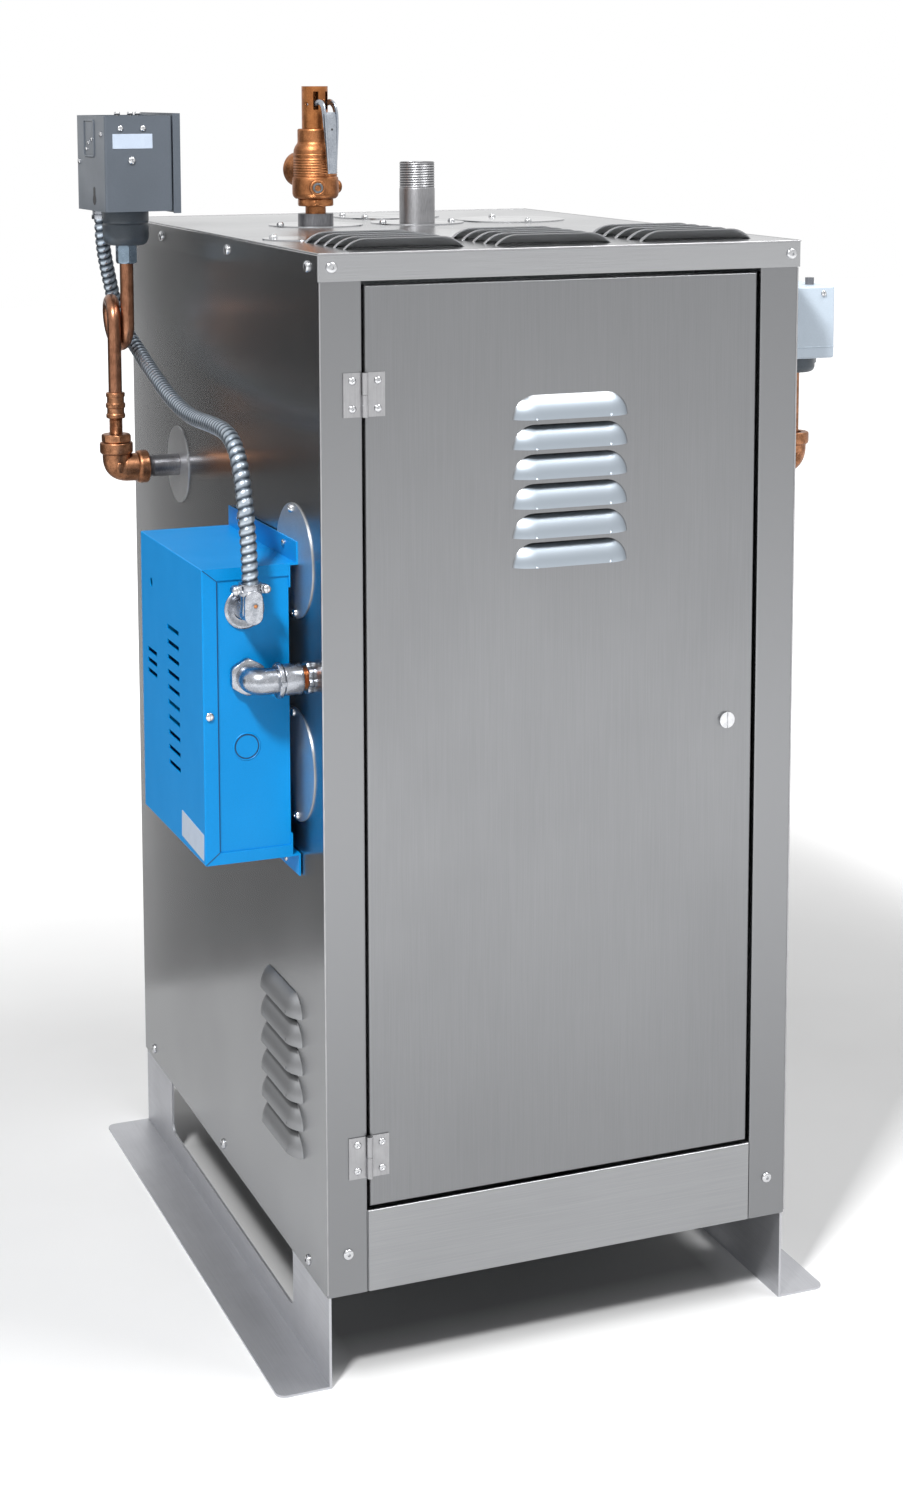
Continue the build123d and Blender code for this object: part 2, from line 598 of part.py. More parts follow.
with BuildPart() as contactor_bank:
    bank_half = (CONTACTOR_COUNT - 1) / 2 * CONTACTOR_PITCH + CONTACTOR_PITCH / 2
    for row_height in (CONTACTOR_LOW_ROW, CONTACTOR_HIGH_ROW):
        rail_low = row_height - RAIL_BAR_HEIGHT / 2
        rail_height = (rail_low, rail_low + RAIL_BAR_HEIGHT)
        block((-bank_half, bank_half), (BULKHEAD_Y - RAIL_BAR_DEPTH, BULKHEAD_Y), rail_height)
        for index in range(CONTACTOR_COUNT):
            contactor_x = (index - (CONTACTOR_COUNT - 1) / 2) * CONTACTOR_PITCH
            contactor_width = (contactor_x - CONTACTOR_WIDTH / 2, contactor_x + CONTACTOR_WIDTH / 2)
            contactor_depth = (BULKHEAD_Y - RAIL_BAR_DEPTH - CONTACTOR_DEPTH, BULKHEAD_Y - RAIL_BAR_DEPTH)
            contactor_height = (row_height - CONTACTOR_HEIGHT / 2, row_height + CONTACTOR_HEIGHT / 2)
            block(contactor_width, contactor_depth, contactor_height)

# Pressure vessel behind the wall: a shell between two heads, on a skirt
NIPPLE_HOLE = STEEL_NIPPLE_RADIUS + RUNNING_GAP
with BuildPart() as vessel_shell:
    rod(up(VESSEL_X, VESSEL_Y, VESSEL_BOTTOM), VESSEL_RADIUS, VESSEL_TOP - VESSEL_BOTTOM)
    bore_radius = VESSEL_RADIUS - VESSEL_WALL
    bore_plane = up(VESSEL_X, VESSEL_Y, VESSEL_BOTTOM)
    rod(bore_plane, bore_radius, VESSEL_TOP - VESSEL_BOTTOM, Mode.SUBTRACT)
    rod(facing(VESSEL_X, SIPHON_Y, SIPHON_AXIS_Z, (-1, 0, 0)), NIPPLE_HOLE, VESSEL_RADIUS, Mode.SUBTRACT)

with BuildPart() as vessel_top_head:
    rod(up(VESSEL_X, VESSEL_Y, VESSEL_TOP), VESSEL_RADIUS, HEAD_THICKNESS)
    outlet_hole = up(VESSEL_X, VESSEL_Y, VESSEL_TOP)
    rod(outlet_hole, OUTLET_RADIUS + RUNNING_GAP, HEAD_THICKNESS, Mode.SUBTRACT)
    valve_hole = up(VALVE_X, VESSEL_Y, VESSEL_TOP)
    rod(valve_hole, COUPLING_RADIUS + RUNNING_GAP, HEAD_THICKNESS, Mode.SUBTRACT)

with BuildPart() as vessel_bottom_head:
    rod(up(VESSEL_X, VESSEL_Y, VESSEL_BOTTOM - HEAD_THICKNESS), VESSEL_RADIUS, HEAD_THICKNESS)

with BuildPart() as vessel_skirt:
    skirt_height = VESSEL_BOTTOM - HEAD_THICKNESS - FLOOR_TOP
    rod(up(VESSEL_X, VESSEL_Y, FLOOR_TOP), VESSEL_RADIUS, skirt_height)
    rod(up(VESSEL_X, VESSEL_Y, FLOOR_TOP), VESSEL_RADIUS - SKIRT_WALL, skirt_height, Mode.SUBTRACT)

# Steam outlet nipple and the coupling under the safety valve
with BuildPart() as steam_outlet_nipple:
    outlet_shoulder = OUTLET_TOP - OUTLET_THREAD_LENGTH
    rod(up(VESSEL_X, VESSEL_Y, VESSEL_TOP), OUTLET_RADIUS, outlet_shoulder - VESSEL_TOP)
    rod(up(VESSEL_X, VESSEL_Y, outlet_shoulder), OUTLET_THREAD_RADIUS, OUTLET_THREAD_LENGTH)
    rod(up(VESSEL_X, VESSEL_Y, VESSEL_TOP), OUTLET_BORE, OUTLET_TOP - VESSEL_TOP, Mode.SUBTRACT)

with BuildPart() as safety_valve_coupling:
    rod(up(VALVE_X, VESSEL_Y, VESSEL_TOP), COUPLING_RADIUS, COUPLING_TOP - VESSEL_TOP)
    coupling_bore = VALVE_NIPPLE_RADIUS + RUNNING_GAP
    rod(up(VALVE_X, VESSEL_Y, VESSEL_TOP), coupling_bore, COUPLING_TOP - VESSEL_TOP, Mode.SUBTRACT)


# Thin discs on the lid round the pipes and over the unused holes
with BuildPart() as lid_escutcheons:
    for pipe_x, pipe_radius in ((VESSEL_X, OUTLET_RADIUS), (VALVE_X, COUPLING_RADIUS)):
        disc_plane = up(pipe_x, VESSEL_Y, CABINET_TOP)
        rod(disc_plane, ESCUTCHEON_RADIUS, ESCUTCHEON_SHEET)
        rod(disc_plane, pipe_radius + SEAT_GAP, ESCUTCHEON_SHEET, Mode.SUBTRACT)

with BuildPart() as lid_blanks:
    rod(up(VESSEL_X + PORT_PITCH, RIGHT_BLANK_Y, CABINET_TOP), BLANK_RADIUS, ESCUTCHEON_SHEET)
    rod(up(BACK_BLANK_X, BACK_BLANK_Y, CABINET_TOP), BLANK_RADIUS, ESCUTCHEON_SHEET)
    rod(up(SMALL_BLANK_X, SMALL_BLANK_Y, CABINET_TOP), SMALL_BLANK_RADIUS, ESCUTCHEON_SHEET)


# Safety valve, with its lever side turned a little from straight forward
def valve_plane(z):
    """Level plane on the valve's axis, with X towards the lever."""
    return Plane(origin=(VALVE_X, VESSEL_Y, z), x_dir=LEVER_OUTWARD, z_dir=(0, 0, 1))


def valve_side_plane(z, direction):
    """Upright plane on the valve's axis."""
    return facing(VALVE_X, VESSEL_Y, z, direction)


OUTLET_SIDE = (-LEVER_OUTWARD[0], -LEVER_OUTWARD[1], 0)
with BuildPart() as safety_valve_body:
    nipple_bottom = COUPLING_TOP - VALVE_THREAD_LENGTH
    rod(valve_plane(nipple_bottom), VALVE_NIPPLE_RADIUS, VALVE_HEX_BOTTOM - nipple_bottom)
    hexagon(valve_plane(VALVE_HEX_BOTTOM), VALVE_HEX_FLATS, VALVE_HEX_TOP - VALVE_HEX_BOTTOM)
    rod(valve_plane(VALVE_HEX_TOP), VALVE_BODY_RADIUS, VALVE_BODY_TOP - VALVE_HEX_TOP)
    rod(valve_plane(VALVE_BODY_TOP), VALVE_BONNET_RADIUS, VALVE_SHOULDER - VALVE_BODY_TOP)
    with BuildSketch(valve_plane(VALVE_SHOULDER)) as shoulder_base:
        Circle(VALVE_BONNET_RADIUS)
    with BuildSketch(valve_plane(VALVE_NECK_BOTTOM)) as shoulder_top:
        Circle(VALVE_NECK_RADIUS)
    loft([shoulder_base.sketch, shoulder_top.sketch])
    rod(valve_plane(VALVE_NECK_BOTTOM), VALVE_NECK_RADIUS, VALVE_NECK_TOP - VALVE_NECK_BOTTOM)
    rod(valve_side_plane(VALVE_PORT_Z, OUTLET_SIDE), VALVE_PORT_RADIUS, VALVE_PORT_REACH)
    rod(valve_side_plane(VALVE_BOSS_Z, LEVER_ACROSS), VALVE_BOSS_RADIUS, VALVE_BOSS_REACH)
    port_start = Plane(
        origin=(
            VALVE_X + OUTLET_SIDE[0] * VALVE_BODY_RADIUS,
            VESSEL_Y + OUTLET_SIDE[1] * VALVE_BODY_RADIUS,
            VALVE_PORT_Z,
        ),
        x_dir=(0, 0, 1),
        z_dir=OUTLET_SIDE,
    )
    rod(port_start, VALVE_PORT_BORE, VALVE_PORT_REACH - VALVE_BODY_RADIUS, Mode.SUBTRACT)

with BuildPart() as safety_valve_cap:
    rod(valve_plane(VALVE_NECK_TOP), VALVE_CAP_RADIUS, VALVE_CAP_TOP - VALVE_NECK_TOP)
    cap_hollow = VALVE_CAP_TOP - VALVE_CAP_ROOF - VALVE_NECK_TOP
    rod(valve_plane(VALVE_NECK_TOP), VALVE_CAP_BORE, cap_hollow, Mode.SUBTRACT)
    for side in (-1, 1):
        with BuildSketch(valve_plane(LEVER_SLOT_BOTTOM)) as lever_slot:
            with Locations((0, side * LEVER_CHEEK_OFFSET)):
                slot_size = LEVER_CHEEK + 2 * LEVER_SLOT_GAP
                Rectangle(2 * VALVE_CAP_RADIUS, slot_size, align=(Align.MIN, Align.CENTER))
        extrude(lever_slot.sketch, LEVER_SLOT_TOP - LEVER_SLOT_BOTTOM, mode=Mode.SUBTRACT)
    pin_start = valve_plane(LEVER_PIVOT_Z).from_local_coords((LEVER_PIVOT_OUT, -VALVE_CAP_RADIUS, 0))
    pin_plane = Plane(origin=pin_start, x_dir=(0, 0, 1), z_dir=LEVER_ACROSS)
    rod(pin_plane, LEVER_PIN_RADIUS + RUNNING_GAP, 2 * VALVE_CAP_RADIUS, Mode.SUBTRACT)

with BuildPart() as safety_valve_lever:
    lever_left = (-LEVER_ACROSS[0], -LEVER_ACROSS[1], 0)
    lever_side = Plane(origin=(VALVE_X, VESSEL_Y, 0), x_dir=LEVER_OUTWARD, z_dir=lever_left)
    cheek_top = LEVER_PIVOT_Z + LEVER_CHEEK_HEIGHT / 2
    cheek_foot = LEVER_PIVOT_Z - LEVER_CHEEK_HEIGHT / 2
    crown = LEVER_REACH - LEVER_PLATE
    with BuildSketch(lever_side) as handle:
        with BuildLine():
            Polyline(
                (LEVER_CROWN_START, cheek_top),
                (crown - LEVER_PLATE, cheek_top),
                (LEVER_REACH, cheek_foot),
                (LEVER_REACH, LEVER_TIP_Z),
                (crown, LEVER_TIP_Z),
                (crown, cheek_foot - LEVER_PLATE),
                (LEVER_CROWN_START, cheek_foot),
                close=True,
            )
        make_face()
    extrude(handle.sketch, LEVER_CHEEK_OFFSET + LEVER_CHEEK / 2, both=True)
    for side in (-1, 1):
        with BuildSketch(valve_plane(cheek_foot)) as cheek:
            with Locations((LEVER_PIVOT_OUT - LEVER_CHEEK_HEIGHT / 2, side * LEVER_CHEEK_OFFSET)):
                Rectangle(LEVER_CROWN_START, LEVER_CHEEK, align=(Align.MIN, Align.CENTER))
        extrude(cheek.sketch, LEVER_CHEEK_HEIGHT)
    pin_end = valve_plane(LEVER_PIVOT_Z).from_local_coords((LEVER_PIVOT_OUT, -LEVER_PIN_HALF, 0))
    rod(Plane(origin=pin_end, x_dir=(0, 0, 1), z_dir=LEVER_ACROSS), LEVER_PIN_RADIUS, 2 * LEVER_PIN_HALF)

# Side piping on the left: steel nipple, bronze elbow, bushing, fitting and coiled siphon
with BuildPart() as side_nipples:
    nipple_start = SIPHON_X + ELBOW_PORT_REACH - ELBOW_PORT_BAND
    nipple_end = VESSEL_X - sqrt(VESSEL_RADIUS**2 - (SIPHON_Y - VESSEL_Y) ** 2) + VESSEL_WALL
    left_plane = facing(nipple_start, SIPHON_Y, SIPHON_AXIS_Z, (1, 0, 0))
    rod(left_plane, STEEL_NIPPLE_RADIUS, nipple_end - nipple_start)
    rod(left_plane, STEEL_NIPPLE_BORE, nipple_end - nipple_start, Mode.SUBTRACT)
    right_start = RIGHT_BELLOWS_X - ELBOW_PORT_REACH + ELBOW_PORT_BAND
    right_plane = facing(right_start, RIGHT_BELLOWS_Y, RIGHT_AXIS_Z, (-1, 0, 0))
    right_length = right_start - HALF_WIDTH + NIPPLE_INSIDE
    rod(right_plane, STEEL_NIPPLE_RADIUS, right_length)
    locknut_plane = facing(HALF_WIDTH - SHEET, RIGHT_BELLOWS_Y, RIGHT_AXIS_Z, (-1, 0, 0))
    hexagon(locknut_plane, INNER_LOCKNUT_FLATS, INNER_LOCKNUT_LENGTH)
    rod(right_plane, STEEL_NIPPLE_BORE, right_length, Mode.SUBTRACT)


def pipe_elbow(x, y, z, side):
    """Elbow from a level port, on its side, to a collared port on top."""
    outward = (side, 0, 0)
    rod(up(x, y, z), ELBOW_RADIUS, ELBOW_COLLAR_BOTTOM - SIPHON_AXIS_Z)
    collar_plane = up(x, y, z + ELBOW_COLLAR_BOTTOM - SIPHON_AXIS_Z)
    rod(collar_plane, ELBOW_COLLAR_RADIUS, ELBOW_COLLAR_TOP - ELBOW_COLLAR_BOTTOM)
    rod(facing(x, y, z, outward), ELBOW_RADIUS, ELBOW_PORT_REACH)
    band_plane = facing(x + side * (ELBOW_PORT_REACH - ELBOW_PORT_BAND), y, z, outward)
    rod(band_plane, ELBOW_COLLAR_RADIUS, ELBOW_PORT_BAND)
    with Locations((x, y, z)):
        Sphere(ELBOW_RADIUS)
    rod(band_plane, STEEL_NIPPLE_RADIUS + RUNNING_GAP, ELBOW_PORT_BAND, Mode.SUBTRACT)
    rod(collar_plane, FITTING_BORE, ELBOW_COLLAR_TOP - ELBOW_COLLAR_BOTTOM, Mode.SUBTRACT)


FITTING_BORE = ADAPTER_NIPPLE_RADIUS + RUNNING_GAP
with BuildPart() as bronze_elbows:
    pipe_elbow(SIPHON_X, SIPHON_Y, SIPHON_AXIS_Z, 1)
    pipe_elbow(RIGHT_BELLOWS_X, RIGHT_BELLOWS_Y, RIGHT_AXIS_Z, -1)

with BuildPart() as reducing_bushing:
    hexagon(up(SIPHON_X, SIPHON_Y, ELBOW_COLLAR_TOP), BUSHING_FLATS, BUSHING_TOP - ELBOW_COLLAR_TOP)
    bushing_plane = up(SIPHON_X, SIPHON_Y, ELBOW_COLLAR_TOP)
    rod(bushing_plane, FITTING_BORE, BUSHING_TOP - ELBOW_COLLAR_TOP, Mode.SUBTRACT)

FITTING_MIDDLE = (ADAPTER_TOP + ADAPTER_END) / 2
with BuildPart() as siphon_fitting:
    rod(up(SIPHON_X, SIPHON_Y, ELBOW_COLLAR_BOTTOM), ADAPTER_NIPPLE_RADIUS, ADAPTER_TOP - ELBOW_COLLAR_BOTTOM)
    rod(up(SIPHON_X, SIPHON_Y, ADAPTER_TOP), ADAPTER_RADIUS, ADAPTER_END - ADAPTER_TOP)
    rod(up(SIPHON_X, SIPHON_Y, FITTING_MIDDLE - FITTING_BAND / 2), ADAPTER_BAND_RADIUS, FITTING_BAND)
    socket = up(SIPHON_X, SIPHON_Y, FITTING_MIDDLE)
    rod(socket, SIPHON_RADIUS + RUNNING_GAP, ADAPTER_END - FITTING_MIDDLE, Mode.SUBTRACT)

# The siphon rises, makes one turn with its axis along X and rises again beside itself
CORNER_TURN = 2 * pi / RING_CORNERS
CORNER_RADIUS = RING_RADIUS / cos(CORNER_TURN / 2)
RING_CENTRE_Y = SIPHON_Y + RING_RADIUS
siphon_points = [(SIPHON_X, SIPHON_Y, FITTING_MIDDLE)]
for corner in range(RING_CORNERS):
    angle = CORNER_TURN * (corner + 0.5)
    corner_x = SIPHON_X + SIPHON_PITCH * corner / (RING_CORNERS - 1)
    corner_y = RING_CENTRE_Y - CORNER_RADIUS * cos(angle)
    corner_z = RING_Z + CORNER_RADIUS * sin(angle)
    siphon_points.append((corner_x, corner_y, corner_z))
siphon_points.append((CONTROL_X, SIPHON_Y, BELLOWS_BOTTOM))
SIPHON_BEND = 0.97 * RING_RADIUS
with BuildPart() as siphon_loop:
    with BuildLine() as siphon_route:
        FilletPolyline(*siphon_points, radius=SIPHON_BEND)
    with BuildSketch(up(*siphon_points[0])):
        Circle(SIPHON_RADIUS)
    sweep()


# Pressure control on the siphon, turned a few degrees on it
def control_plane(z):
    """Level plane at the middle of the control's case."""
    turn = radians(CONTROL_TURN)
    origin = (CONTROL_X + CONTROL_CENTRE_OUT, SIPHON_Y + CONTROL_CENTRE_BACK, z)
    return Plane(origin=origin, x_dir=(cos(turn), sin(turn), 0), z_dir=(0, 0, 1))


def control_box(x, y, z, mode=Mode.ADD):
    """Box in the control's own directions."""
    with BuildSketch(control_plane(z[0])) as outline:
        with Locations(((x[0] + x[1]) / 2, (y[0] + y[1]) / 2)):
            Rectangle(abs(x[1] - x[0]), abs(y[1] - y[0]))
    extrude(outline.sketch, z[1] - z[0], mode=mode)


CASE_HALF_WIDTH = CONTROL_WIDTH / 2
CASE_HALF_DEPTH = CONTROL_DEPTH / 2
CONTROL_TOP = CONTROL_BOTTOM + CONTROL_HEIGHT
with BuildPart() as control_bellows:
    rod(up(CONTROL_X, SIPHON_Y, BELLOWS_BOTTOM), BELLOWS_RADIUS, CONTROL_BOTTOM - BELLOWS_BOTTOM)
    bellows_edge = control_bellows.edges().filter_by(GeomType.CIRCLE).sort_by(Axis.Z)[0]
    fillet(bellows_edge, BELLOWS_RADIUS / 4)
    hexagon(up(CONTROL_X, SIPHON_Y, NUT_BOTTOM), NUT_FLATS, BELLOWS_BOTTOM - NUT_BOTTOM)
    nut_plane = up(CONTROL_X, SIPHON_Y, NUT_BOTTOM)
    rod(nut_plane, SIPHON_RADIUS + RUNNING_GAP, BELLOWS_BOTTOM - NUT_BOTTOM, Mode.SUBTRACT)

with BuildPart() as control_case:
    case_width = (-CASE_HALF_WIDTH, CASE_HALF_WIDTH)
    case_depth = (-CASE_HALF_DEPTH, CASE_HALF_DEPTH)
    control_box(case_width, case_depth, (CONTROL_BOTTOM, CONTROL_TOP))
    fillet(control_case.edges().filter_by(Axis.Z), BEND_RADIUS)
    pocket_width = (-CASE_HALF_WIDTH + CONTROL_WALL, CASE_HALF_WIDTH - CONTROL_WALL)
    pocket_depth = (-CASE_HALF_DEPTH + CONTROL_WALL, CASE_HALF_DEPTH - CONTROL_WALL)
    control_box(pocket_width, pocket_depth, (CONTROL_TOP - CONTROL_POCKET, CONTROL_TOP), Mode.SUBTRACT)

with BuildPart() as control_cover_plate:
    plate_outer = CASE_HALF_WIDTH + COVER_PLATE_OFFSET
    plate_depth = (-CASE_HALF_DEPTH - COVER_PLATE, CASE_HALF_DEPTH + COVER_PLATE_REACH)
    plate_height = (CONTROL_BOTTOM - PLATE_LAP, CONTROL_TOP + PLATE_LAP)
    control_box((plate_outer - COVER_PLATE, plate_outer), plate_depth, plate_height)
    front_lip = (-CASE_HALF_DEPTH - COVER_PLATE, -CASE_HALF_DEPTH)
    control_box((CASE_HALF_WIDTH, plate_outer), front_lip, plate_height)
    control_box((CASE_HALF_WIDTH, plate_outer), (-COVER_PLATE, COVER_PLATE), (CONTROL_BOTTOM, CONTROL_TOP))

# Switch box on the left side: open body, cover pan and two folded brackets
BOX_RIGHT = -HALF_WIDTH - BOX_STANDOFF
COVER_EDGE = BOX_LEFT + COVER_LIP
with BuildPart() as switch_box_body:
    block((COVER_EDGE, BOX_RIGHT), (BOX_FRONT, BOX_BACK), (BOX_BOTTOM, BOX_TOP))
    body_depth = (BOX_FRONT + 2 * BOX_SHEET, BOX_BACK - BOX_SHEET)
    body_height = (BOX_BOTTOM + BOX_SHEET, BOX_TOP - BOX_SHEET)
    block((COVER_EDGE, BOX_RIGHT - BOX_SHEET), body_depth, body_height, Mode.SUBTRACT)
    face_height = (BOX_BOTTOM + BOX_STRIP, BOX_TOP - BOX_STRIP)
    block((COVER_EDGE, BOX_RIGHT), (BOX_FRONT, BOX_FRONT + BOX_SHEET), face_height, Mode.SUBTRACT)
    elbow_hole = facing(ELBOW_CONNECTOR_X, BOX_FRONT, ELBOW_CONNECTOR_Z, (0, 1, 0))
    rod(elbow_hole, ELBOW_TUBE_RADIUS, 2 * BOX_SHEET, Mode.SUBTRACT)
    conduit_hole = facing(CONDUIT_AXIS_X, BOX_FRONT, CONNECTOR_Z, (0, 1, 0))
    rod(conduit_hole, CONNECTOR_BODY_RADIUS, 2 * BOX_SHEET, Mode.SUBTRACT)


def vent_slots(count, centre_y, top, pitch, length):
    """Row of slots through the cover, one under the other."""
    for index in range(count):
        slot_low = top - index * pitch - VENT_SLOT_HEIGHT / 2
        slot_range = (slot_low, slot_low + VENT_SLOT_HEIGHT)
        slot_span = (centre_y - length / 2, centre_y + length / 2)
        block((BOX_LEFT, BOX_LEFT + BOX_SHEET), slot_span, slot_range, Mode.SUBTRACT)


with BuildPart() as switch_box_cover:
    block((BOX_LEFT, COVER_EDGE), (BOX_FRONT, BOX_BACK), (BOX_BOTTOM, BOX_TOP))
    fillet(switch_box_cover.faces().sort_by(Axis.X)[0].edges(), BOX_SHEET)
    cover_depth = (BOX_FRONT + BOX_SHEET, BOX_BACK - BOX_SHEET)
    cover_height = (BOX_BOTTOM + BOX_SHEET, BOX_TOP - BOX_SHEET)
    block((BOX_LEFT + BOX_SHEET, COVER_EDGE), cover_depth, cover_height, Mode.SUBTRACT)
    vent_slots(VENT_SLOT_COUNT, VENT_SLOT_Y, VENT_SLOT_TOP, VENT_SLOT_PITCH, VENT_SLOT_LENGTH)
    vent_slots(SMALL_SLOT_COUNT, SMALL_SLOT_Y, SMALL_SLOT_TOP, SMALL_SLOT_PITCH, SMALL_SLOT_LENGTH)
    cover_hole = facing(BOX_LEFT, COVER_HOLE_Y, COVER_HOLE_Z, (1, 0, 0))
    rod(cover_hole, COVER_HOLE_RADIUS, BOX_SHEET, Mode.SUBTRACT)

DISC_FACE = -HALF_WIDTH - DISC_SHEET
with BuildPart() as switch_box_brackets:
    for edge, direction in ((BOX_TOP, 1), (BOX_BOTTOM, -1)):
        bracket_depth = (BOX_FRONT, BOX_BACK)
        shelf_height = (edge - direction * EAR_SHEET, edge)
        tab_height = (edge - direction * EAR_TAB, edge)
        block((BOX_RIGHT, BOX_RIGHT + EAR_SHEET), bracket_depth, tab_height)
        block((BOX_RIGHT, DISC_FACE), bracket_depth, shelf_height)
        ear_height = (edge - direction * EAR_SHEET, edge + direction * EAR_HEIGHT)
        block((DISC_FACE - EAR_SHEET, DISC_FACE), bracket_depth, ear_height)

with BuildPart() as side_discs:
    for disc_height in DISC_HEIGHTS:
        rod(facing(-HALF_WIDTH, DISC_Y, disc_height, (-1, 0, 0)), DISC_RADIUS, DISC_SHEET)
    nipple_disc = facing(-HALF_WIDTH, SIPHON_Y, SIPHON_AXIS_Z, (-1, 0, 0))
    rod(nipple_disc, SIDE_ESCUTCHEON_RADIUS, DISC_SHEET)
    rod(nipple_disc, STEEL_NIPPLE_RADIUS + SEAT_GAP, DISC_SHEET, Mode.SUBTRACT)

# Angle connector that holds the conduit in front of the switch box
BOX_FACE = BOX_FRONT + BOX_SHEET
with BuildPart() as angle_connector:
    connector_face = facing(CONDUIT_AXIS_X, BOX_FACE, CONNECTOR_Z, (0, -1, 0))
    rod(connector_face, CONNECTOR_FLANGE_RADIUS, CONNECTOR_FLANGE)
    rod(connector_face, CONNECTOR_BODY_RADIUS, BOX_FACE - CONDUIT_AXIS_Y)
    connector_core = up(CONDUIT_AXIS_X, CONDUIT_AXIS_Y, CONNECTOR_Z)
    rod(connector_core, CONNECTOR_BODY_RADIUS, CONNECTOR_TOP - CONNECTOR_Z)
    with Locations((CONDUIT_AXIS_X, CONDUIT_AXIS_Y, CONNECTOR_Z)):
        Sphere(CONNECTOR_BODY_RADIUS)
    clamp_width = (CONDUIT_AXIS_X - CLAMP_HALF_WIDTH, CONDUIT_AXIS_X + CLAMP_HALF_WIDTH)
    clamp_depth = (CONDUIT_AXIS_Y - CLAMP_HALF_DEPTH, CONDUIT_AXIS_Y + CLAMP_HALF_DEPTH)
    block(clamp_width, clamp_depth, (CONNECTOR_TOP - CLAMP_HEIGHT, CONNECTOR_TOP))
    conduit_socket = up(CONDUIT_AXIS_X, CONDUIT_AXIS_Y, CONDUIT_SOCKET)
    rod(conduit_socket, CONDUIT_RADIUS + RUNNING_GAP, CONNECTOR_TOP - CONDUIT_SOCKET, Mode.SUBTRACT)

# Elbow connector from the switch box into the cabinet
RING_START = ELBOW_BARREL_END - ELBOW_BARREL_LENGTH - ELBOW_RING_LENGTH
with BuildPart() as elbow_connector:
    face_plane = facing(ELBOW_CONNECTOR_X, BOX_FACE, ELBOW_CONNECTOR_Z, (0, -1, 0))
    hexagon(face_plane, ELBOW_HEX_FLATS, ELBOW_HEX_HEIGHT)
    rod(face_plane, ELBOW_TUBE_RADIUS, BOX_FACE - CONDUIT_AXIS_Y)
    with Locations((ELBOW_CONNECTOR_X, CONDUIT_AXIS_Y, ELBOW_CONNECTOR_Z)):
        Sphere(ELBOW_TUBE_RADIUS)
    level_plane = facing(ELBOW_CONNECTOR_X, CONDUIT_AXIS_Y, ELBOW_CONNECTOR_Z, (1, 0, 0))
    rod(level_plane, ELBOW_TUBE_RADIUS, RING_START - ELBOW_CONNECTOR_X)
    ring_plane = facing(RING_START, CONDUIT_AXIS_Y, ELBOW_CONNECTOR_Z, (1, 0, 0))
    rod(ring_plane, ELBOW_RING_RADIUS, ELBOW_RING_LENGTH)
    rod(ring_plane, ELBOW_BARREL_RADIUS, ELBOW_BARREL_END - RING_START)
    thread_plane = facing(ELBOW_BARREL_END, CONDUIT_AXIS_Y, ELBOW_CONNECTOR_Z, (1, 0, 0))
    rod(thread_plane, ELBOW_THREAD_RADIUS, THREAD_INSIDE - HALF_WIDTH - ELBOW_BARREL_END)
    locknut_plane = facing(-HALF_WIDTH, CONDUIT_AXIS_Y, ELBOW_CONNECTOR_Z, (-1, 0, 0))
    rod(locknut_plane, LOCKNUT_RADIUS, LOCKNUT_LENGTH)

# Straight connector under the pressure control, where the conduit starts
START_CONNECTOR_BOTTOM = CONTROL_BOTTOM - START_CONNECTOR_LENGTH
with BuildPart() as control_connector:
    start_plane = up(START_CONNECTOR_X, START_CONNECTOR_Y, START_CONNECTOR_BOTTOM)
    rod(start_plane, START_CONNECTOR_RADIUS, START_CONNECTOR_LENGTH)
    rod(start_plane, CONDUIT_RADIUS + RUNNING_GAP, START_SOCKET_DEPTH, Mode.SUBTRACT)

# Right side control, on a riser from a nipple in the side panel
with BuildPart() as right_control_case:
    right_width = (RIGHT_CONTROL_INNER, RIGHT_CONTROL_OUTER)
    right_depth = (RIGHT_CONTROL_FRONT, RIGHT_CONTROL_BACK)
    block(right_width, right_depth, (RIGHT_CONTROL_BOTTOM, RIGHT_CONTROL_TOP))
    fillet(right_control_case.edges(), BEND_RADIUS)
    button_bore = up(BUTTON_X, BUTTON_Y, RIGHT_CONTROL_TOP - BUTTON_BORE_DEPTH)
    rod(button_bore, BUTTON_RADIUS + RUNNING_GAP, BUTTON_BORE_DEPTH, Mode.SUBTRACT)

with BuildPart() as reset_button:
    rod(up(BUTTON_X, BUTTON_Y, RIGHT_CONTROL_TOP - BUTTON_DEPTH), BUTTON_RADIUS, BUTTON_HEIGHT + BUTTON_DEPTH)

with BuildPart() as right_control_bellows:
    bellows_height = RIGHT_CONTROL_BOTTOM - RIGHT_BELLOWS_BOTTOM
    rod(up(RIGHT_BELLOWS_X, RIGHT_BELLOWS_Y, RIGHT_BELLOWS_BOTTOM), RIGHT_BELLOWS_RADIUS, bellows_height)
    right_edge = right_control_bellows.edges().filter_by(GeomType.CIRCLE).sort_by(Axis.Z)[0]
    fillet(right_edge, RIGHT_BELLOWS_RADIUS / 4)

with BuildPart() as right_riser:
    riser_bottom = RIGHT_AXIS_Z + ELBOW_COLLAR_BOTTOM - SIPHON_AXIS_Z
    riser_plane = up(RIGHT_BELLOWS_X, RIGHT_BELLOWS_Y, riser_bottom)
    rod(riser_plane, ADAPTER_NIPPLE_RADIUS, RIGHT_BELLOWS_BOTTOM - riser_bottom)

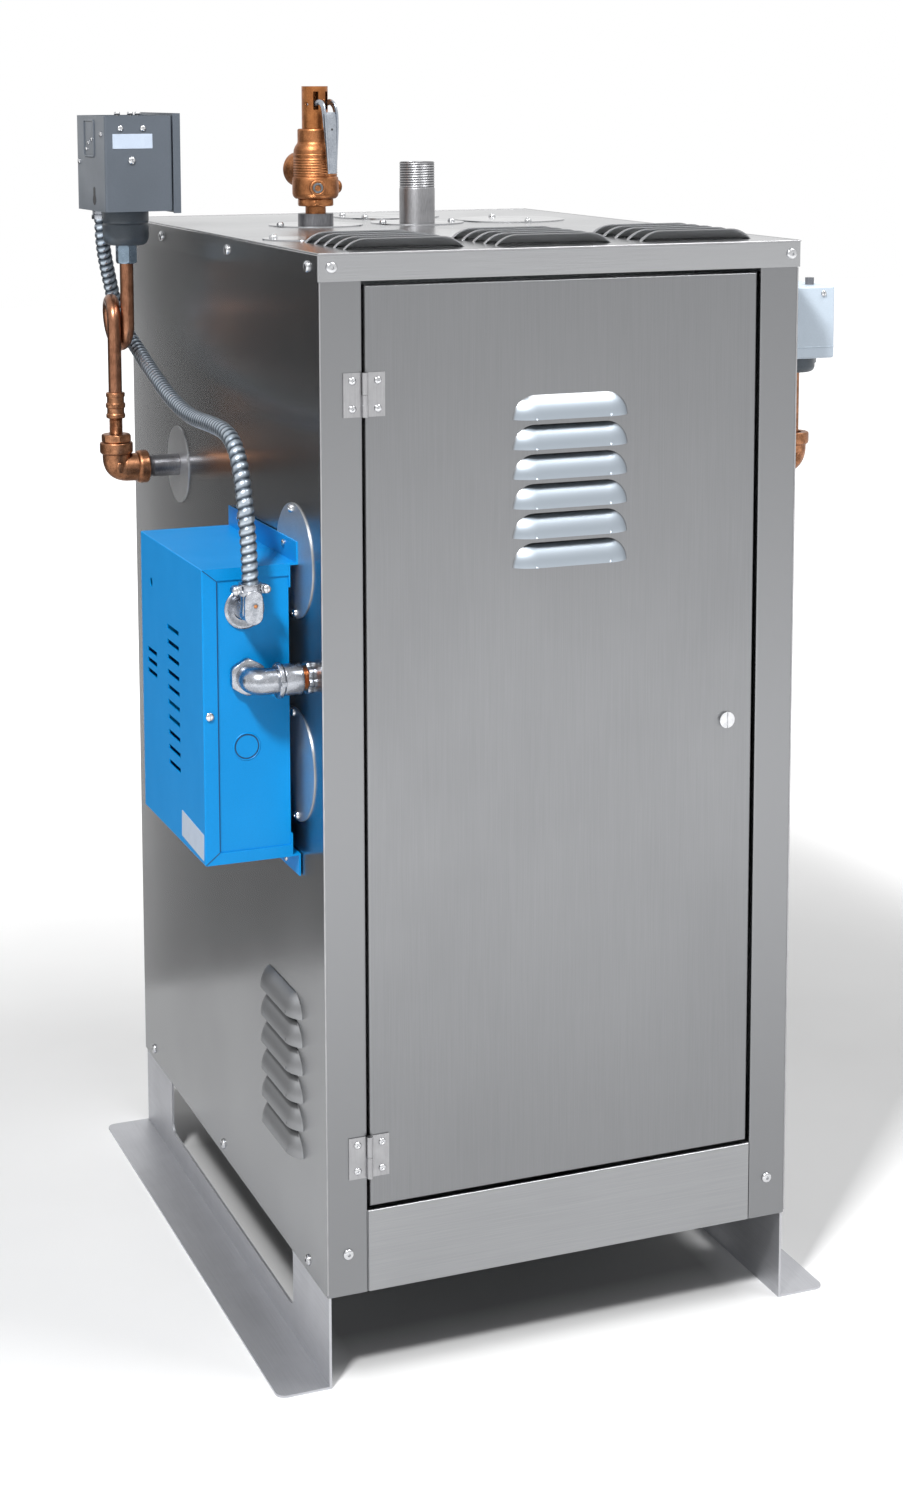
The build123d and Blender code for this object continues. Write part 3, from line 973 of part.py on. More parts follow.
# Flexible metal conduit from the pressure control down to the switch box
conduit_points = [
    (START_CONNECTOR_X, START_CONNECTOR_Y, START_CONNECTOR_BOTTOM + START_SOCKET_DEPTH),
    (-HALF_WIDTH - 91.0, 218.0, 1338.0),
    (-HALF_WIDTH - 84.0, 235.0, 1306.0),
    (-HALF_WIDTH - 73.0, 254.0, 1272.0),
    (-HALF_WIDTH - 63.0, 266.0, 1236.0),
    (-HALF_WIDTH - 52.0, 253.0, 1200.0),
    (-HALF_WIDTH - 45.0, 217.0, 1179.0),
    (-HALF_WIDTH - 47.0, 168.0, 1166.0),
    (-HALF_WIDTH - 51.0, 98.0, 1152.0),
    (-HALF_WIDTH - 56.0, 8.0, 1135.5),
    (-HALF_WIDTH - 62.0, -105.0, 1126.0),
    (-HALF_WIDTH - 67.0, -222.0, 1132.0),
    (-HALF_WIDTH - 70.0, -292.0, 1131.0),
    (-HALF_WIDTH - 71.0, -329.0, 1116.0),
    (-HALF_WIDTH - 72.0, -353.0, 1086.0),
    (-HALF_WIDTH - 72.0, -367.0, 1040.0),
    (-HALF_WIDTH - 70.0, -371.0, 996.0),
    (CONDUIT_AXIS_X, CONDUIT_AXIS_Y, CONDUIT_SOCKET),
]
conduit_radii = []
for before, corner, after in zip(conduit_points, conduit_points[1:], conduit_points[2:]):
    first_run = Vector(corner) - Vector(before)
    second_run = Vector(after) - Vector(corner)
    turn = radians(first_run.get_angle(second_run))
    shorter_run = min(first_run.length, second_run.length)
    conduit_radii.append(0.45 * shorter_run / tan(turn / 2))
print("conduit radii", [round(radius) for radius in conduit_radii])
with BuildPart() as flexible_conduit:
    with BuildLine() as conduit_route:
        FilletPolyline(*conduit_points, radius=conduit_radii)
    with BuildSketch(up(*conduit_points[0])):
        Circle(CONDUIT_RADIUS)
    sweep()
conduit_volume = pi * CONDUIT_RADIUS**2 * conduit_route.wires()[0].length
print("conduit length", round(conduit_route.wires()[0].length), flexible_conduit.part.volume / conduit_volume)

left_foot.part.label = "left_foot"
export_step(left_foot.part, "parts/left_foot.step")
right_foot.part.label = "right_foot"
export_step(right_foot.part, "parts/right_foot.step")
floor_pan.part.label = "floor_pan"
export_step(floor_pan.part, "parts/floor_pan.step")
left_side_panel.part.label = "left_side_panel"
export_step(left_side_panel.part, "parts/left_side_panel.step")
right_side_panel.part.label = "right_side_panel"
export_step(right_side_panel.part, "parts/right_side_panel.step")
back_panel.part.label = "back_panel"
export_step(back_panel.part, "parts/back_panel.step")
bottom_rail.part.label = "bottom_rail"
export_step(bottom_rail.part, "parts/bottom_rail.step")
lid.part.label = "lid"
export_step(lid.part, "parts/lid.step")
door.part.label = "door"
export_step(door.part, "parts/door.step")
door_latch.part.label = "door_latch"
export_step(door_latch.part, "parts/door_latch.step")
hinge_post_leaves.part.label = "hinge_post_leaves"
export_step(hinge_post_leaves.part, "parts/hinge_post_leaves.step")
hinge_door_leaves.part.label = "hinge_door_leaves"
export_step(hinge_door_leaves.part, "parts/hinge_door_leaves.step")
inner_wall.part.label = "inner_wall"
export_step(inner_wall.part, "parts/inner_wall.step")
contactor_bank.part.label = "contactor_bank"
export_step(contactor_bank.part, "parts/contactor_bank.step")
vessel_shell.part.label = "vessel_shell"
export_step(vessel_shell.part, "parts/vessel_shell.step")
vessel_top_head.part.label = "vessel_top_head"
export_step(vessel_top_head.part, "parts/vessel_top_head.step")
vessel_bottom_head.part.label = "vessel_bottom_head"
export_step(vessel_bottom_head.part, "parts/vessel_bottom_head.step")
vessel_skirt.part.label = "vessel_skirt"
export_step(vessel_skirt.part, "parts/vessel_skirt.step")
steam_outlet_nipple.part.label = "steam_outlet_nipple"
export_step(steam_outlet_nipple.part, "parts/steam_outlet_nipple.step")
safety_valve_coupling.part.label = "safety_valve_coupling"
export_step(safety_valve_coupling.part, "parts/safety_valve_coupling.step")
lid_escutcheons.part.label = "lid_escutcheons"
export_step(lid_escutcheons.part, "parts/lid_escutcheons.step")
lid_blanks.part.label = "lid_blanks"
export_step(lid_blanks.part, "parts/lid_blanks.step")
safety_valve_body.part.label = "safety_valve_body"
export_step(safety_valve_body.part, "parts/safety_valve_body.step")
safety_valve_cap.part.label = "safety_valve_cap"
export_step(safety_valve_cap.part, "parts/safety_valve_cap.step")
safety_valve_lever.part.label = "safety_valve_lever"
export_step(safety_valve_lever.part, "parts/safety_valve_lever.step")
side_nipples.part.label = "side_nipples"
export_step(side_nipples.part, "parts/side_nipples.step")
bronze_elbows.part.label = "bronze_elbows"
export_step(bronze_elbows.part, "parts/bronze_elbows.step")
reducing_bushing.part.label = "reducing_bushing"
export_step(reducing_bushing.part, "parts/reducing_bushing.step")
siphon_fitting.part.label = "siphon_fitting"
export_step(siphon_fitting.part, "parts/siphon_fitting.step")
siphon_loop.part.label = "siphon_loop"
export_step(siphon_loop.part, "parts/siphon_loop.step")
control_bellows.part.label = "control_bellows"
export_step(control_bellows.part, "parts/control_bellows.step")
control_case.part.label = "control_case"
export_step(control_case.part, "parts/control_case.step")
control_cover_plate.part.label = "control_cover_plate"
export_step(control_cover_plate.part, "parts/control_cover_plate.step")
control_connector.part.label = "control_connector"
export_step(control_connector.part, "parts/control_connector.step")
flexible_conduit.part.label = "flexible_conduit"
export_step(flexible_conduit.part, "parts/flexible_conduit.step")
angle_connector.part.label = "angle_connector"
export_step(angle_connector.part, "parts/angle_connector.step")
elbow_connector.part.label = "elbow_connector"
export_step(elbow_connector.part, "parts/elbow_connector.step")
switch_box_body.part.label = "switch_box_body"
export_step(switch_box_body.part, "parts/switch_box_body.step")
switch_box_cover.part.label = "switch_box_cover"
export_step(switch_box_cover.part, "parts/switch_box_cover.step")
switch_box_brackets.part.label = "switch_box_brackets"
export_step(switch_box_brackets.part, "parts/switch_box_brackets.step")
side_discs.part.label = "side_discs"
export_step(side_discs.part, "parts/side_discs.step")
right_control_case.part.label = "right_control_case"
export_step(right_control_case.part, "parts/right_control_case.step")
right_control_bellows.part.label = "right_control_bellows"
export_step(right_control_bellows.part, "parts/right_control_bellows.step")
reset_button.part.label = "reset_button"
export_step(reset_button.part, "parts/reset_button.step")
right_riser.part.label = "right_riser"
export_step(right_riser.part, "parts/right_riser.step")
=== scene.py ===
"""Dressing of an upright electric steam boiler: its finishes, its small pieces, the light and the camera.

Lengths in the shape code are millimetres, X to the right, Y to the back and Z up, from the middle of
the cabinet on the floor. Every surface is a grid of points worked out as whole arrays.
"""

import math

import bpy
import numpy as np
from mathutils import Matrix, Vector


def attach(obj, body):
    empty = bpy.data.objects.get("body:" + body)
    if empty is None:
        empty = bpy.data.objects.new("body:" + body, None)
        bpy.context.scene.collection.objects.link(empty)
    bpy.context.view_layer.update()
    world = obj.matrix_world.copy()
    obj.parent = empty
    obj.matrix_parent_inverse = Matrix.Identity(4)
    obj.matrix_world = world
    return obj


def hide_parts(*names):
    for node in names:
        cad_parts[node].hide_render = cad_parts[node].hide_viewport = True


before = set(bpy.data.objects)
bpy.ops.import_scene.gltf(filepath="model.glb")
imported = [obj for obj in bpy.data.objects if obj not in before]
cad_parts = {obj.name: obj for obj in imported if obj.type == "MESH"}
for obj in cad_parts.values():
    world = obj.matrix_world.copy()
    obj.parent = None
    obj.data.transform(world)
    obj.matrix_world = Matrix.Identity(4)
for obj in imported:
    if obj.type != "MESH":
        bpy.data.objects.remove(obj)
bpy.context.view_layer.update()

MM = 0.001
TURN = 2 * math.pi
# Directions and the planes that pieces sit on
UP, FRONT, BACK, LEFT, RIGHT = (0, 0, 1), (0, -1, 0), (0, 1, 0), (-1, 0, 0), (1, 0, 0)
CABINET_FRONT = -419.0
BOX_FRONT = -336.4
LID_DISC_TOP = 1347.5
SIDE_DISC_FACE = -306.5


def in_scene(name, data):
    """New object in the scene that shows the data."""
    made = bpy.data.objects.new(name, data)
    bpy.context.scene.collection.objects.link(made)
    return made


# Shapes: each one is a set of points, its quads and its triangles


def around(count):
    """Angles of a full turn, from 0, without the last one."""
    return np.arange(count) * TURN / count


def hexagon(flats, angle):
    """Radius of a hexagon: half the flats over the cosine of the angle from the nearest flat's middle."""
    return flats / 2 / np.cos((angle + math.pi / 6) % (math.pi / 3) - math.pi / 6)


def skin(rings, closed=False):
    """Quads from each ring to the next. Rings run anticlockwise seen from the last one.

    An open skin ends in fans of triangles to the middle of its first and last rings; a closed one
    joins its last ring to its first.
    """
    rings = np.asarray(rings, float)
    rows, columns = rings.shape[:2]
    index = np.arange(rows * columns).reshape(rows, columns)
    low, high = (index, np.roll(index, -1, 0)) if closed else (index[:-1], index[1:])
    quads = np.stack([low, np.roll(low, -1, 1), np.roll(high, -1, 1), high], -1).reshape(-1, 4)
    points = rings.reshape(-1, 3)
    if closed:
        return points, quads, np.zeros((0, 3), int)
    first, last = index[0], index[-1]
    start, end = np.full(columns, rows * columns), np.full(columns, rows * columns + 1)
    points = np.vstack([points, rings[0].mean(0), rings[-1].mean(0)])
    first_fan = np.stack([start, np.roll(first, -1), first], -1)
    last_fan = np.stack([end, last, np.roll(last, -1)], -1)
    return points, quads, np.vstack([first_fan, last_fan])


def rings_round_z(radius, level, angle, closed=False):
    """Skin of one ring a row: x, y = that row's radius times the angle's cosine and sine, z = its level."""
    radius, level = np.broadcast_arrays(radius, np.asarray(level, float)[:, None] + 0 * angle)
    return skin(np.stack([radius * np.cos(angle), radius * np.sin(angle), level], -1), closed)


def joined(shapes):
    """Several shapes as one, with the faces of each moved on by the points before it."""
    points, quads, fans, before = [], [], [], 0
    for shape_points, shape_quads, shape_fans in shapes:
        points.append(shape_points)
        quads.append(shape_quads + before)
        fans.append(shape_fans + before)
        before += len(shape_points)
    return np.vstack(points), np.vstack(quads), np.vstack(fans)


def seat(origin, normal, upward=UP):
    """Place whose own Z is the normal and whose own Y is as near upward as it can be."""
    z = np.array(normal, float) / np.linalg.norm(normal)
    y = np.array(upward, float) - z * np.dot(upward, z)
    y /= np.linalg.norm(y)
    return np.array(origin, float), np.stack([np.cross(y, z), y, z])


def upright(x, y, z=0.0):
    """Place whose axes are the model's own."""
    return np.array((x, y, z), float), np.eye(3)


def placed(shape, place):
    """The shape moved from the middle of the model to a place."""
    origin, axes = place
    return shape[0] @ axes + origin, shape[1], shape[2]


def placed_at_each(shape, places):
    """One copy of the shape at each place, joined."""
    return joined([placed(shape, place) for place in places])


def eased(line, radius, steps=4, closed=False):
    """Polyline with its corners rounded: each corner becomes a quadratic curve that starts and ends
    the radius away from it, or at most half way to the next corner."""
    line = np.asarray(line, float)
    before, after = np.roll(line, 1, 0) - line, np.roll(line, -1, 0) - line
    before_length = np.linalg.norm(before, axis=1, keepdims=True)
    after_length = np.linalg.norm(after, axis=1, keepdims=True)
    reach = np.minimum(radius, 0.49 * np.minimum(before_length, after_length))
    start, end = line + before / before_length * reach, line + after / after_length * reach
    t = np.linspace(0, 1, steps + 1)[None, :, None]
    curve = (1 - t) ** 2 * start[:, None] + 2 * t * (1 - t) * line[:, None] + t**2 * end[:, None]
    if closed:
        return curve.reshape(-1, line.shape[1])
    return np.vstack([line[:1], curve[1:-1].reshape(-1, line.shape[1]), line[-1:]])


def turned(profile, sides=48, closed=False):
    """Profile of radius and height carried once round Z: x, y = radius times cosine and sine."""
    profile = np.asarray(profile, float)
    return rings_round_z(profile[:, :1], profile[:, 1], around(sides), closed)


def nut(flats, height, bore=0.0, sides=48):
    """Hexagon whose ends are turned off by a cone: radius = the smaller of hexagon and cone."""
    angle = around(sides)
    level = height * np.array([0, 0.03, 0.08, 0.16, 0.84, 0.92, 0.97, 1])
    cone = 0.49 * flats + 1.5 * np.minimum(level, height - level)
    radius = np.minimum(hexagon(flats, angle), cone[:, None])
    if bore:
        radius = np.vstack([radius, np.full((2, sides), bore)])
        level = np.append(level, [height, 0])
    return rings_round_z(radius, level, angle, closed=bool(bore))


def threaded(radius, length, pitch, depth, sides=48, per_turn=6, bore=0.0):
    """Bar with a helical ridge: radius less the depth times half of one less the cosine of the
    turn, where the turn is height over pitch less the angle. The depth runs out at both ends."""
    angle = around(sides)
    level = np.linspace(0, length, int(length / pitch * per_turn) + 1)
    turn = TURN * level[:, None] / pitch - angle
    fade = np.clip(np.minimum(level, length - level) / (0.6 * pitch), 0, 1)[:, None]
    ridge = radius - depth * (0.5 - 0.5 * np.cos(turn)) * fade - 0.6 * depth * (1 - fade)
    if bore:
        ridge = np.vstack([ridge, np.full((2, sides), bore)])
        level = np.append(level, [length, 0])
    return rings_round_z(ridge, level, angle, closed=bool(bore))


def socket_screw(radius, height, socket, sides=24):
    """Button head: a quarter ellipse down from the top, with a hexagon sunk in its middle."""
    angle = around(sides)
    swell = np.radians([0, 15, 32, 50, 66])
    inner = 0.62 * socket
    rim = inner + (radius - inner) * np.cos(swell)
    level = height * (0.2 + 0.8 * np.sin(swell) / np.sin(swell[-1]))
    hollow = hexagon(socket, angle)
    radii = np.vstack([np.full((1, sides), radius), np.repeat(rim[:, None], sides, 1), hollow, hollow])
    level = np.concatenate([[0], level, [height, 0.35 * height]])
    return rings_round_z(radii, level, angle)


def slotted_screw(radius, height, slot, depth, across=10):
    """Domed head cut by a slot: loops across the head at fixed places along X, lowered by the
    depth where X is within half the slot."""
    half = slot / 2
    side = np.array([1.0, 0.93, 0.8, 0.62, 0.4]) * radius
    x = np.concatenate([-side, [-half, -half, half, half], side[::-1]])
    low = np.zeros(len(x))
    low[6:8] = depth
    reach = np.sqrt(np.maximum(radius**2 - x**2, 1e-6))
    v = np.linspace(1, -1, across)
    y = reach[:, None] * v
    dome = height * (0.45 + 0.55 * np.sqrt(np.maximum(0, 1 - 0.96 * (x[:, None] ** 2 + y**2) / radius**2)))
    z = dome - low[:, None]
    flat = np.zeros((len(x), 1))
    ring_y = np.hstack([reach[:, None], y, -reach[:, None]])
    ring_z = np.hstack([flat, z, flat])
    return skin(np.stack([np.broadcast_to(x[:, None], ring_y.shape), ring_y, ring_z], -1))


def rivet(radius, height):
    """Round rivet head: a low dome with a small dimple where the mandrel broke off."""
    profile = [(radius, 0), (radius, 0.2 * height), (0.86 * radius, 0.68 * height), (0.6 * radius, 0.95 * height)]
    profile += [(0.34 * radius, height), (0.26 * radius, 0.86 * height), (0.2 * radius, 0.45 * height)]
    return turned(profile, 20)


def rounded_outline(width, height, corner, steps=4):
    """Rectangle with quarter circles for corners, anticlockwise: corner middle plus the radius
    times cosine and sine."""
    angle = np.linspace(0, math.pi / 2, steps + 1)
    angle = (angle[None, :] + np.arange(4)[:, None] * math.pi / 2).ravel()
    sign_x, sign_y = np.repeat([1, -1, -1, 1], steps + 1), np.repeat([1, 1, -1, -1], steps + 1)
    x = sign_x * (width / 2 - corner) + corner * np.cos(angle)
    y = sign_y * (height / 2 - corner) + corner * np.sin(angle)
    return x, y


def stamped(width, height, corner, levels, closed=False, steps=4):
    """Rounded rectangle drawn in by each level's inset and raised to its height."""
    rings = []
    for inset, level in levels:
        x, y = rounded_outline(width - 2 * inset, height - 2 * inset, max(corner - inset, 0.2), steps)
        rings.append(np.stack([x, y, np.full(len(x), level)], -1))
    return skin(rings, closed)


def cube_edges(width, depth, height, edge=1.0):
    """Block with eased edges: a stamped rectangle with a small step in at both ends."""
    levels = [(edge, 0), (0.3 * edge, 0.3 * edge), (0, edge), (0, height - edge)]
    levels += [(0.3 * edge, height - 0.3 * edge), (edge, height)]
    return stamped(width, depth, edge, levels)


def swept(path, section, reference=(1, 0, 0), closed=False):
    """Section carried along a path: middle plus its first number times the reference made square
    to the path, and its second times the third direction. The section may change from row to row."""
    path, section = np.asarray(path, float), np.asarray(section, float)
    along = np.gradient(path, axis=0)
    along /= np.linalg.norm(along, axis=1, keepdims=True)
    reference = np.array(reference, float)
    side = reference - along * (along @ reference)[:, None]
    side /= np.linalg.norm(side, axis=1, keepdims=True)
    third = np.cross(along, side)
    if section.ndim == 2:
        section = np.broadcast_to(section, (len(path), *section.shape))
    rings = path[:, None] + section[..., :1] * side[:, None] + section[..., 1:] * third[:, None]
    return skin(rings, closed)


def circle(radius, sides=32):
    """Points of a circle, or of one circle a row where the radius is a column of numbers."""
    angle = around(sides)
    radius = np.asarray(radius, float)[..., None]
    return np.stack([radius * np.cos(angle), radius * np.sin(angle)], -1)


# Materials: Object coordinates in metres, so each pattern's scale is one over a real size


def srgb(text):
    """Linear colour of a hex value as a screen shows it."""
    value = np.array([int(text[i : i + 2], 16) / 255 for i in (1, 3, 5)])
    linear = np.where(value <= 0.04045, value / 12.92, ((value + 0.055) / 1.055) ** 2.4)
    return (*linear.tolist(), 1.0)


def node(tree, kind, output, inputs=None, **settings):
    """Add a node with its settings and links, and give back one of its outputs."""
    made = tree.nodes.new(kind)
    for name, value in settings.items():
        setattr(made, name, value)
    for name, value in (inputs or {}).items():
        if isinstance(value, bpy.types.NodeSocket):
            tree.links.new(value, made.inputs[name])
        else:
            made.inputs[name].default_value = value
    return made.outputs[output]


def shader_of(material):
    """The material's own surface shader."""
    return material.node_tree.nodes["Principled BSDF"]


def finish(
    name, light, dark, rough, grain_mm, height_mm, stain_mm=30.0, stretch=(1, 1, 1), stained=0.5, uneven=0.04, **values
):
    """Material of two cloud patterns: a grain, drawn out where its stretch is small, tints and lifts
    the surface, and a wider stain tints it and changes its gloss."""
    material = bpy.data.materials.new(name)
    material.use_nodes = True
    tree, shader = material.node_tree, shader_of(material)
    for socket, value in {"Metallic": 1.0, **values}.items():
        shader.inputs[socket.replace("_", " ")].default_value = value
    where = node(tree, "ShaderNodeTexCoord", "Object")
    drawn = node(tree, "ShaderNodeMapping", "Vector", {"Vector": where, "Scale": stretch})
    grain = node(tree, "ShaderNodeTexNoise", "Fac", {"Vector": drawn, "Scale": 1 / (grain_mm * MM), "Detail": 3.0})
    stain = node(tree, "ShaderNodeTexNoise", "Fac", {"Vector": where, "Scale": 1 / (stain_mm * MM), "Detail": 3.0})
    both = node(tree, "ShaderNodeMix", 0, {0: stained, 2: grain, 3: stain})
    share = node(tree, "ShaderNodeMapRange", "Result", {"Value": both, "From Min": 0.36, "From Max": 0.64})
    colour = node(tree, "ShaderNodeMix", 2, {0: share, 6: srgb(dark), 7: srgb(light)}, data_type="RGBA")
    span = {"Value": stain, "From Min": 0.3, "From Max": 0.7, "To Min": rough + uneven, "To Max": rough - uneven}
    gloss = node(tree, "ShaderNodeMapRange", "Result", span)
    lifted = node(tree, "ShaderNodeBump", "Normal", {"Height": grain, "Distance": height_mm * MM, "Strength": 0.6})
    for socket, pattern in (("Base Color", colour), ("Roughness", gloss), ("Normal", lifted)):
        tree.links.new(pattern, shader.inputs[socket])
    return material


def over(material, share, colour, rough):
    """Lay a second colour and roughness over a finish where the share is 1."""
    tree, shader = material.node_tree, shader_of(material)
    base, gloss = (shader.inputs[name].links[0].from_socket for name in ("Base Color", "Roughness"))
    laid = node(tree, "ShaderNodeMix", 2, {0: share, 6: base, 7: srgb(colour)}, data_type="RGBA")
    tree.links.new(laid, shader.inputs["Base Color"])
    tree.links.new(node(tree, "ShaderNodeMix", 0, {0: share, 2: gloss, 3: rough}), shader.inputs["Roughness"])


def share_along(tree, coordinate, axis, start, end, low=0.0, high=1.0):
    """Number that goes evenly from low to high as an axis of the place or of the facing, as the
    coordinate says, goes from the start to the end."""
    level = node(tree, "ShaderNodeSeparateXYZ", axis, {"Vector": node(tree, "ShaderNodeTexCoord", coordinate)})
    span = {"Value": level, "From Min": start, "From Max": end, "To Min": low, "To Max": high}
    return node(tree, "ShaderNodeMapRange", "Result", span)


def straight_ray(tree):
    """1 for a ray of the camera, of a reflection or through glass, and 0 for scattered light."""
    path = tree.nodes.new("ShaderNodeLightPath")
    camera, glossy, through = (path.outputs[f"Is {kind} Ray"] for kind in ("Camera", "Glossy", "Transmission"))
    either = node(tree, "ShaderNodeMath", 0, {0: camera, 1: glossy}, operation="ADD")
    return node(tree, "ShaderNodeMath", 0, {0: either, 1: through}, operation="ADD", use_clamp=True)


def brushed_stainless(name, light, dark, rough, stretch, pressed=None):
    """304 stainless sheet, belt brushed. The grit leaves lines about 0.1 mm wide, drawn here 0.9 mm
    wide so that they show; they draw reflections out across the grain. Where the press tool has
    raised the sheet along an axis, from a start to an end, it has its own colour and roughness, and
    the hollow under it is given a pale, matte, non-metal colour so that it renders light grey rather than black:
    painted light."""
    material = finish(name, light, dark, rough, 0.9, 0.006, 260.0, stretch, 0.45, 0.03, Anisotropic=0.55)
    tree, shader = material.node_tree, shader_of(material)
    round_z = node(tree, "ShaderNodeTangent", "Tangent", direction_type="RADIAL", axis="Z")
    tree.links.new(round_z, shader.inputs["Tangent"])
    if pressed:
        axis, start, end, colour, hood_rough = pressed
        raised = share_along(tree, "Object", axis, start, end)
        over(material, raised, colour, hood_rough)
        outward = 1 if end > start else -1
        inward = share_along(tree, "Normal", axis, -0.05 * outward, -0.25 * outward)
        # Pale, matte, non-metal lining inside each hood: painted light
        inside = node(tree, "ShaderNodeMath", 0, {0: raised, 1: inward}, operation="MULTIPLY")
        over(material, inside, "#c4c5c7", 0.85)
        bare = node(tree, "ShaderNodeMath", 0, {0: 1.0, 1: inside}, operation="SUBTRACT")
        tree.links.new(bare, shader.inputs["Metallic"])
    return material


# Brushed sheet: upright lines on the walls and the door, lines from side to side on the lid and the rail
UPRIGHT, LEVEL = (1, 1, 0.012), (0.012, 1, 1)
# Louver hoods: the axis they rise along, from where to where in metres, their colour and roughness
DOOR_HOODS = ("Y", -0.4194, -0.4216, "#a7b0b9", 0.42)
LID_HOODS = ("Z", 1.3464, 1.3476, "#9d9ea0", 0.42)
SIDE_HOODS = ("X", -0.3054, -0.3066, "#8e8f91", 0.5)
# The door's sheet is toned darker than the side and back sheets, though all are one stainless: painted shade, for the
# darker surroundings the front reflects
door_stainless = brushed_stainless("door_brushed_stainless", "#868789", "#808183", 0.34, UPRIGHT, DOOR_HOODS)
side_stainless = brushed_stainless("side_brushed_stainless", "#999a9c", "#919294", 0.24, UPRIGHT, SIDE_HOODS)
# The front flanges of the side panels, picked out by the way they face, are toned down to the door's darker tone:
# painted shade, as on the door
over(side_stainless, share_along(side_stainless.node_tree, "Normal", "Y", -0.4, -0.9), "#858688", 0.34)
lid_stainless = brushed_stainless("lid_brushed_stainless", "#adaeb0", "#a4a5a7", 0.22, LEVEL, LID_HOODS)
back_stainless = brushed_stainless("back_brushed_stainless", "#9c9d9f", "#949597", 0.33, LEVEL)
# Pickled stainless plate, cold bent: satin, with faint roll lines along its length
foot_steel = finish("foot_satin_stainless", "#c4c5c9", "#b6b7bb", 0.52, 1.4, 0.015, 80.0, (1, 0.02, 1), 0.6)
# Thin stainless trim, spun and polished: clear reflections with faint turning lines
disc_steel = finish("disc_polished_stainless", "#bdbec0", "#abacae", 0.17, 0.8, 0.004, 60.0, (1, 1, 0.1))
side_disc_steel = finish("side_disc_satin_stainless", "#d0d1d3", "#c0c1c3", 0.42, 0.8, 0.004, 60.0, (1, 0.1, 1))
# Hot dip zinc on inner sheet: crystals a few millimetres wide, dull after storage
zinc_sheet = finish("inner_galvanised_sheet", "#b7babd", "#989ca0", 0.4, 5.0, 0.01, 9.0)
# Primer brushed on boiler plate: matte, near black
vessel_primer = finish("vessel_dark_primer", "#2c2c2f", "#232326", 0.6, 1.5, 0.06, Metallic=0.0)
# Drawn pipe with thin mill scale: dark, with fine lines along the pipe
pipe_iron = finish("pipe_mill_steel", "#838386", "#626265", 0.38, 1.0, 0.02, 22.0, (1, 1, 0.1))
# Drawn pipe rubbed clean before its thread was cut: paler, lines along the pipe
outlet_steel = finish("outlet_clean_steel", "#8f8f91", "#7a7a7c", 0.38, 1.0, 0.012, 18.0, (1, 1, 0.1))
# Steel just cut by the die: bright flanks
cut_steel = finish("thread_cut_steel", "#b9b9bb", "#a9a9ab", 0.34, 0.6, 0.004, 9.0)
# Dark grey laid in the roots of the thread by their depth: painted shade
thread_root_shade = node(cut_steel.node_tree, "ShaderNodeAttribute", "Fac", attribute_name="groove_shade")
over(cut_steel, thread_root_shade, "#4a4a4c", 0.5)
# Bronze cast in sand: grains catch light, browner in the hollows
bronze = finish("valve_cast_bronze", "#b57a50", "#73482c", 0.42, 1.2, 0.16, 12.0)
# Bronze bar turned on a lathe: smoother and a little redder
turned_bronze = finish("cap_turned_bronze", "#b37648", "#7f4d2c", 0.36, 0.8, 0.05, 12.0)
# Red brass fittings cast in sand, handled with an oily glove
red_bronze = finish("fitting_cast_bronze", "#ac7a5a", "#684631", 0.4, 1.3, 0.16, 9.0)
# Copper alloy tube bent cold and left to tarnish: brown clouds under a soft shine
copper = finish("siphon_tarnished_copper", "#a3745a", "#6f4a37", 0.34, 0.8, 0.012, 14.0, (1, 1, 0.12))
# Cold headed stainless fasteners: bright all over
bright_steel = finish("screw_bright_stainless", "#cfd0d2", "#b4b5b8", 0.2, 0.4, 0.004, 6.0)
# Hinge leaves pressed from satin stainless strip
hinge_steel = finish("hinge_satin_stainless", "#a9a9ab", "#98989a", 0.32, 0.6, 0.008, 20.0, (1, 1, 0.02))
# Lever forged and tumbled: smooth grey with soft scars
lever_metal = finish("lever_forged_steel", "#b4bac2", "#989ea7", 0.24, 1.6, 0.02, 12.0)
# Hexagon zinc plated and faintly blue
nut_steel = finish("nut_zinc_plated", "#8798a8", "#6c7b88", 0.3, 0.6, 0.01, 8.0)
# Zinc die castings: bright skin with shallow flow marks
zinc_cast = finish("connector_die_cast_zinc", "#b3b6bc", "#878b92", 0.27, 1.4, 0.06, 9.0)
# Plug of dark steel with an oxide skin
plug_steel = finish("plug_dark_steel", "#8c9094", "#5d6064", 0.34, 0.6, 0.01, 6.0)
# Zinc coated strip wound into a hose: pale crests, with a dark grey laid in the grooves between them as painted shade
conduit_steel = finish("conduit_galvanised_strip", "#c6d0da", "#a3afbb", 0.3, 0.7, 0.008, 12.0)
rib_groove_shade = node(conduit_steel.node_tree, "ShaderNodeAttribute", "Fac", attribute_name="groove_shade")
over(conduit_steel, rib_groove_shade, "#3a424b", 0.5)
# Brass thread under the elbow's ring
brass_thread = finish("thread_brass", "#c98b5e", "#8f5a38", 0.3, 0.6, 0.01, 6.0)
# Stoved enamel on folded steel: faint orange peel and slightly uneven gloss
blue_paint = finish(
    "box_blue_enamel", "#008dd6", "#0087ce", 0.38, 1.8, 0.03, 120.0, Metallic=0.0, Specular_IOR_Level=0.22
)
# The same enamel where it lies in the shade of a seam
seam_paint = finish("box_seam_shadow", "#003c66", "#00345a", 0.6, 1.8, 0.02, 120.0, Metallic=0.0)
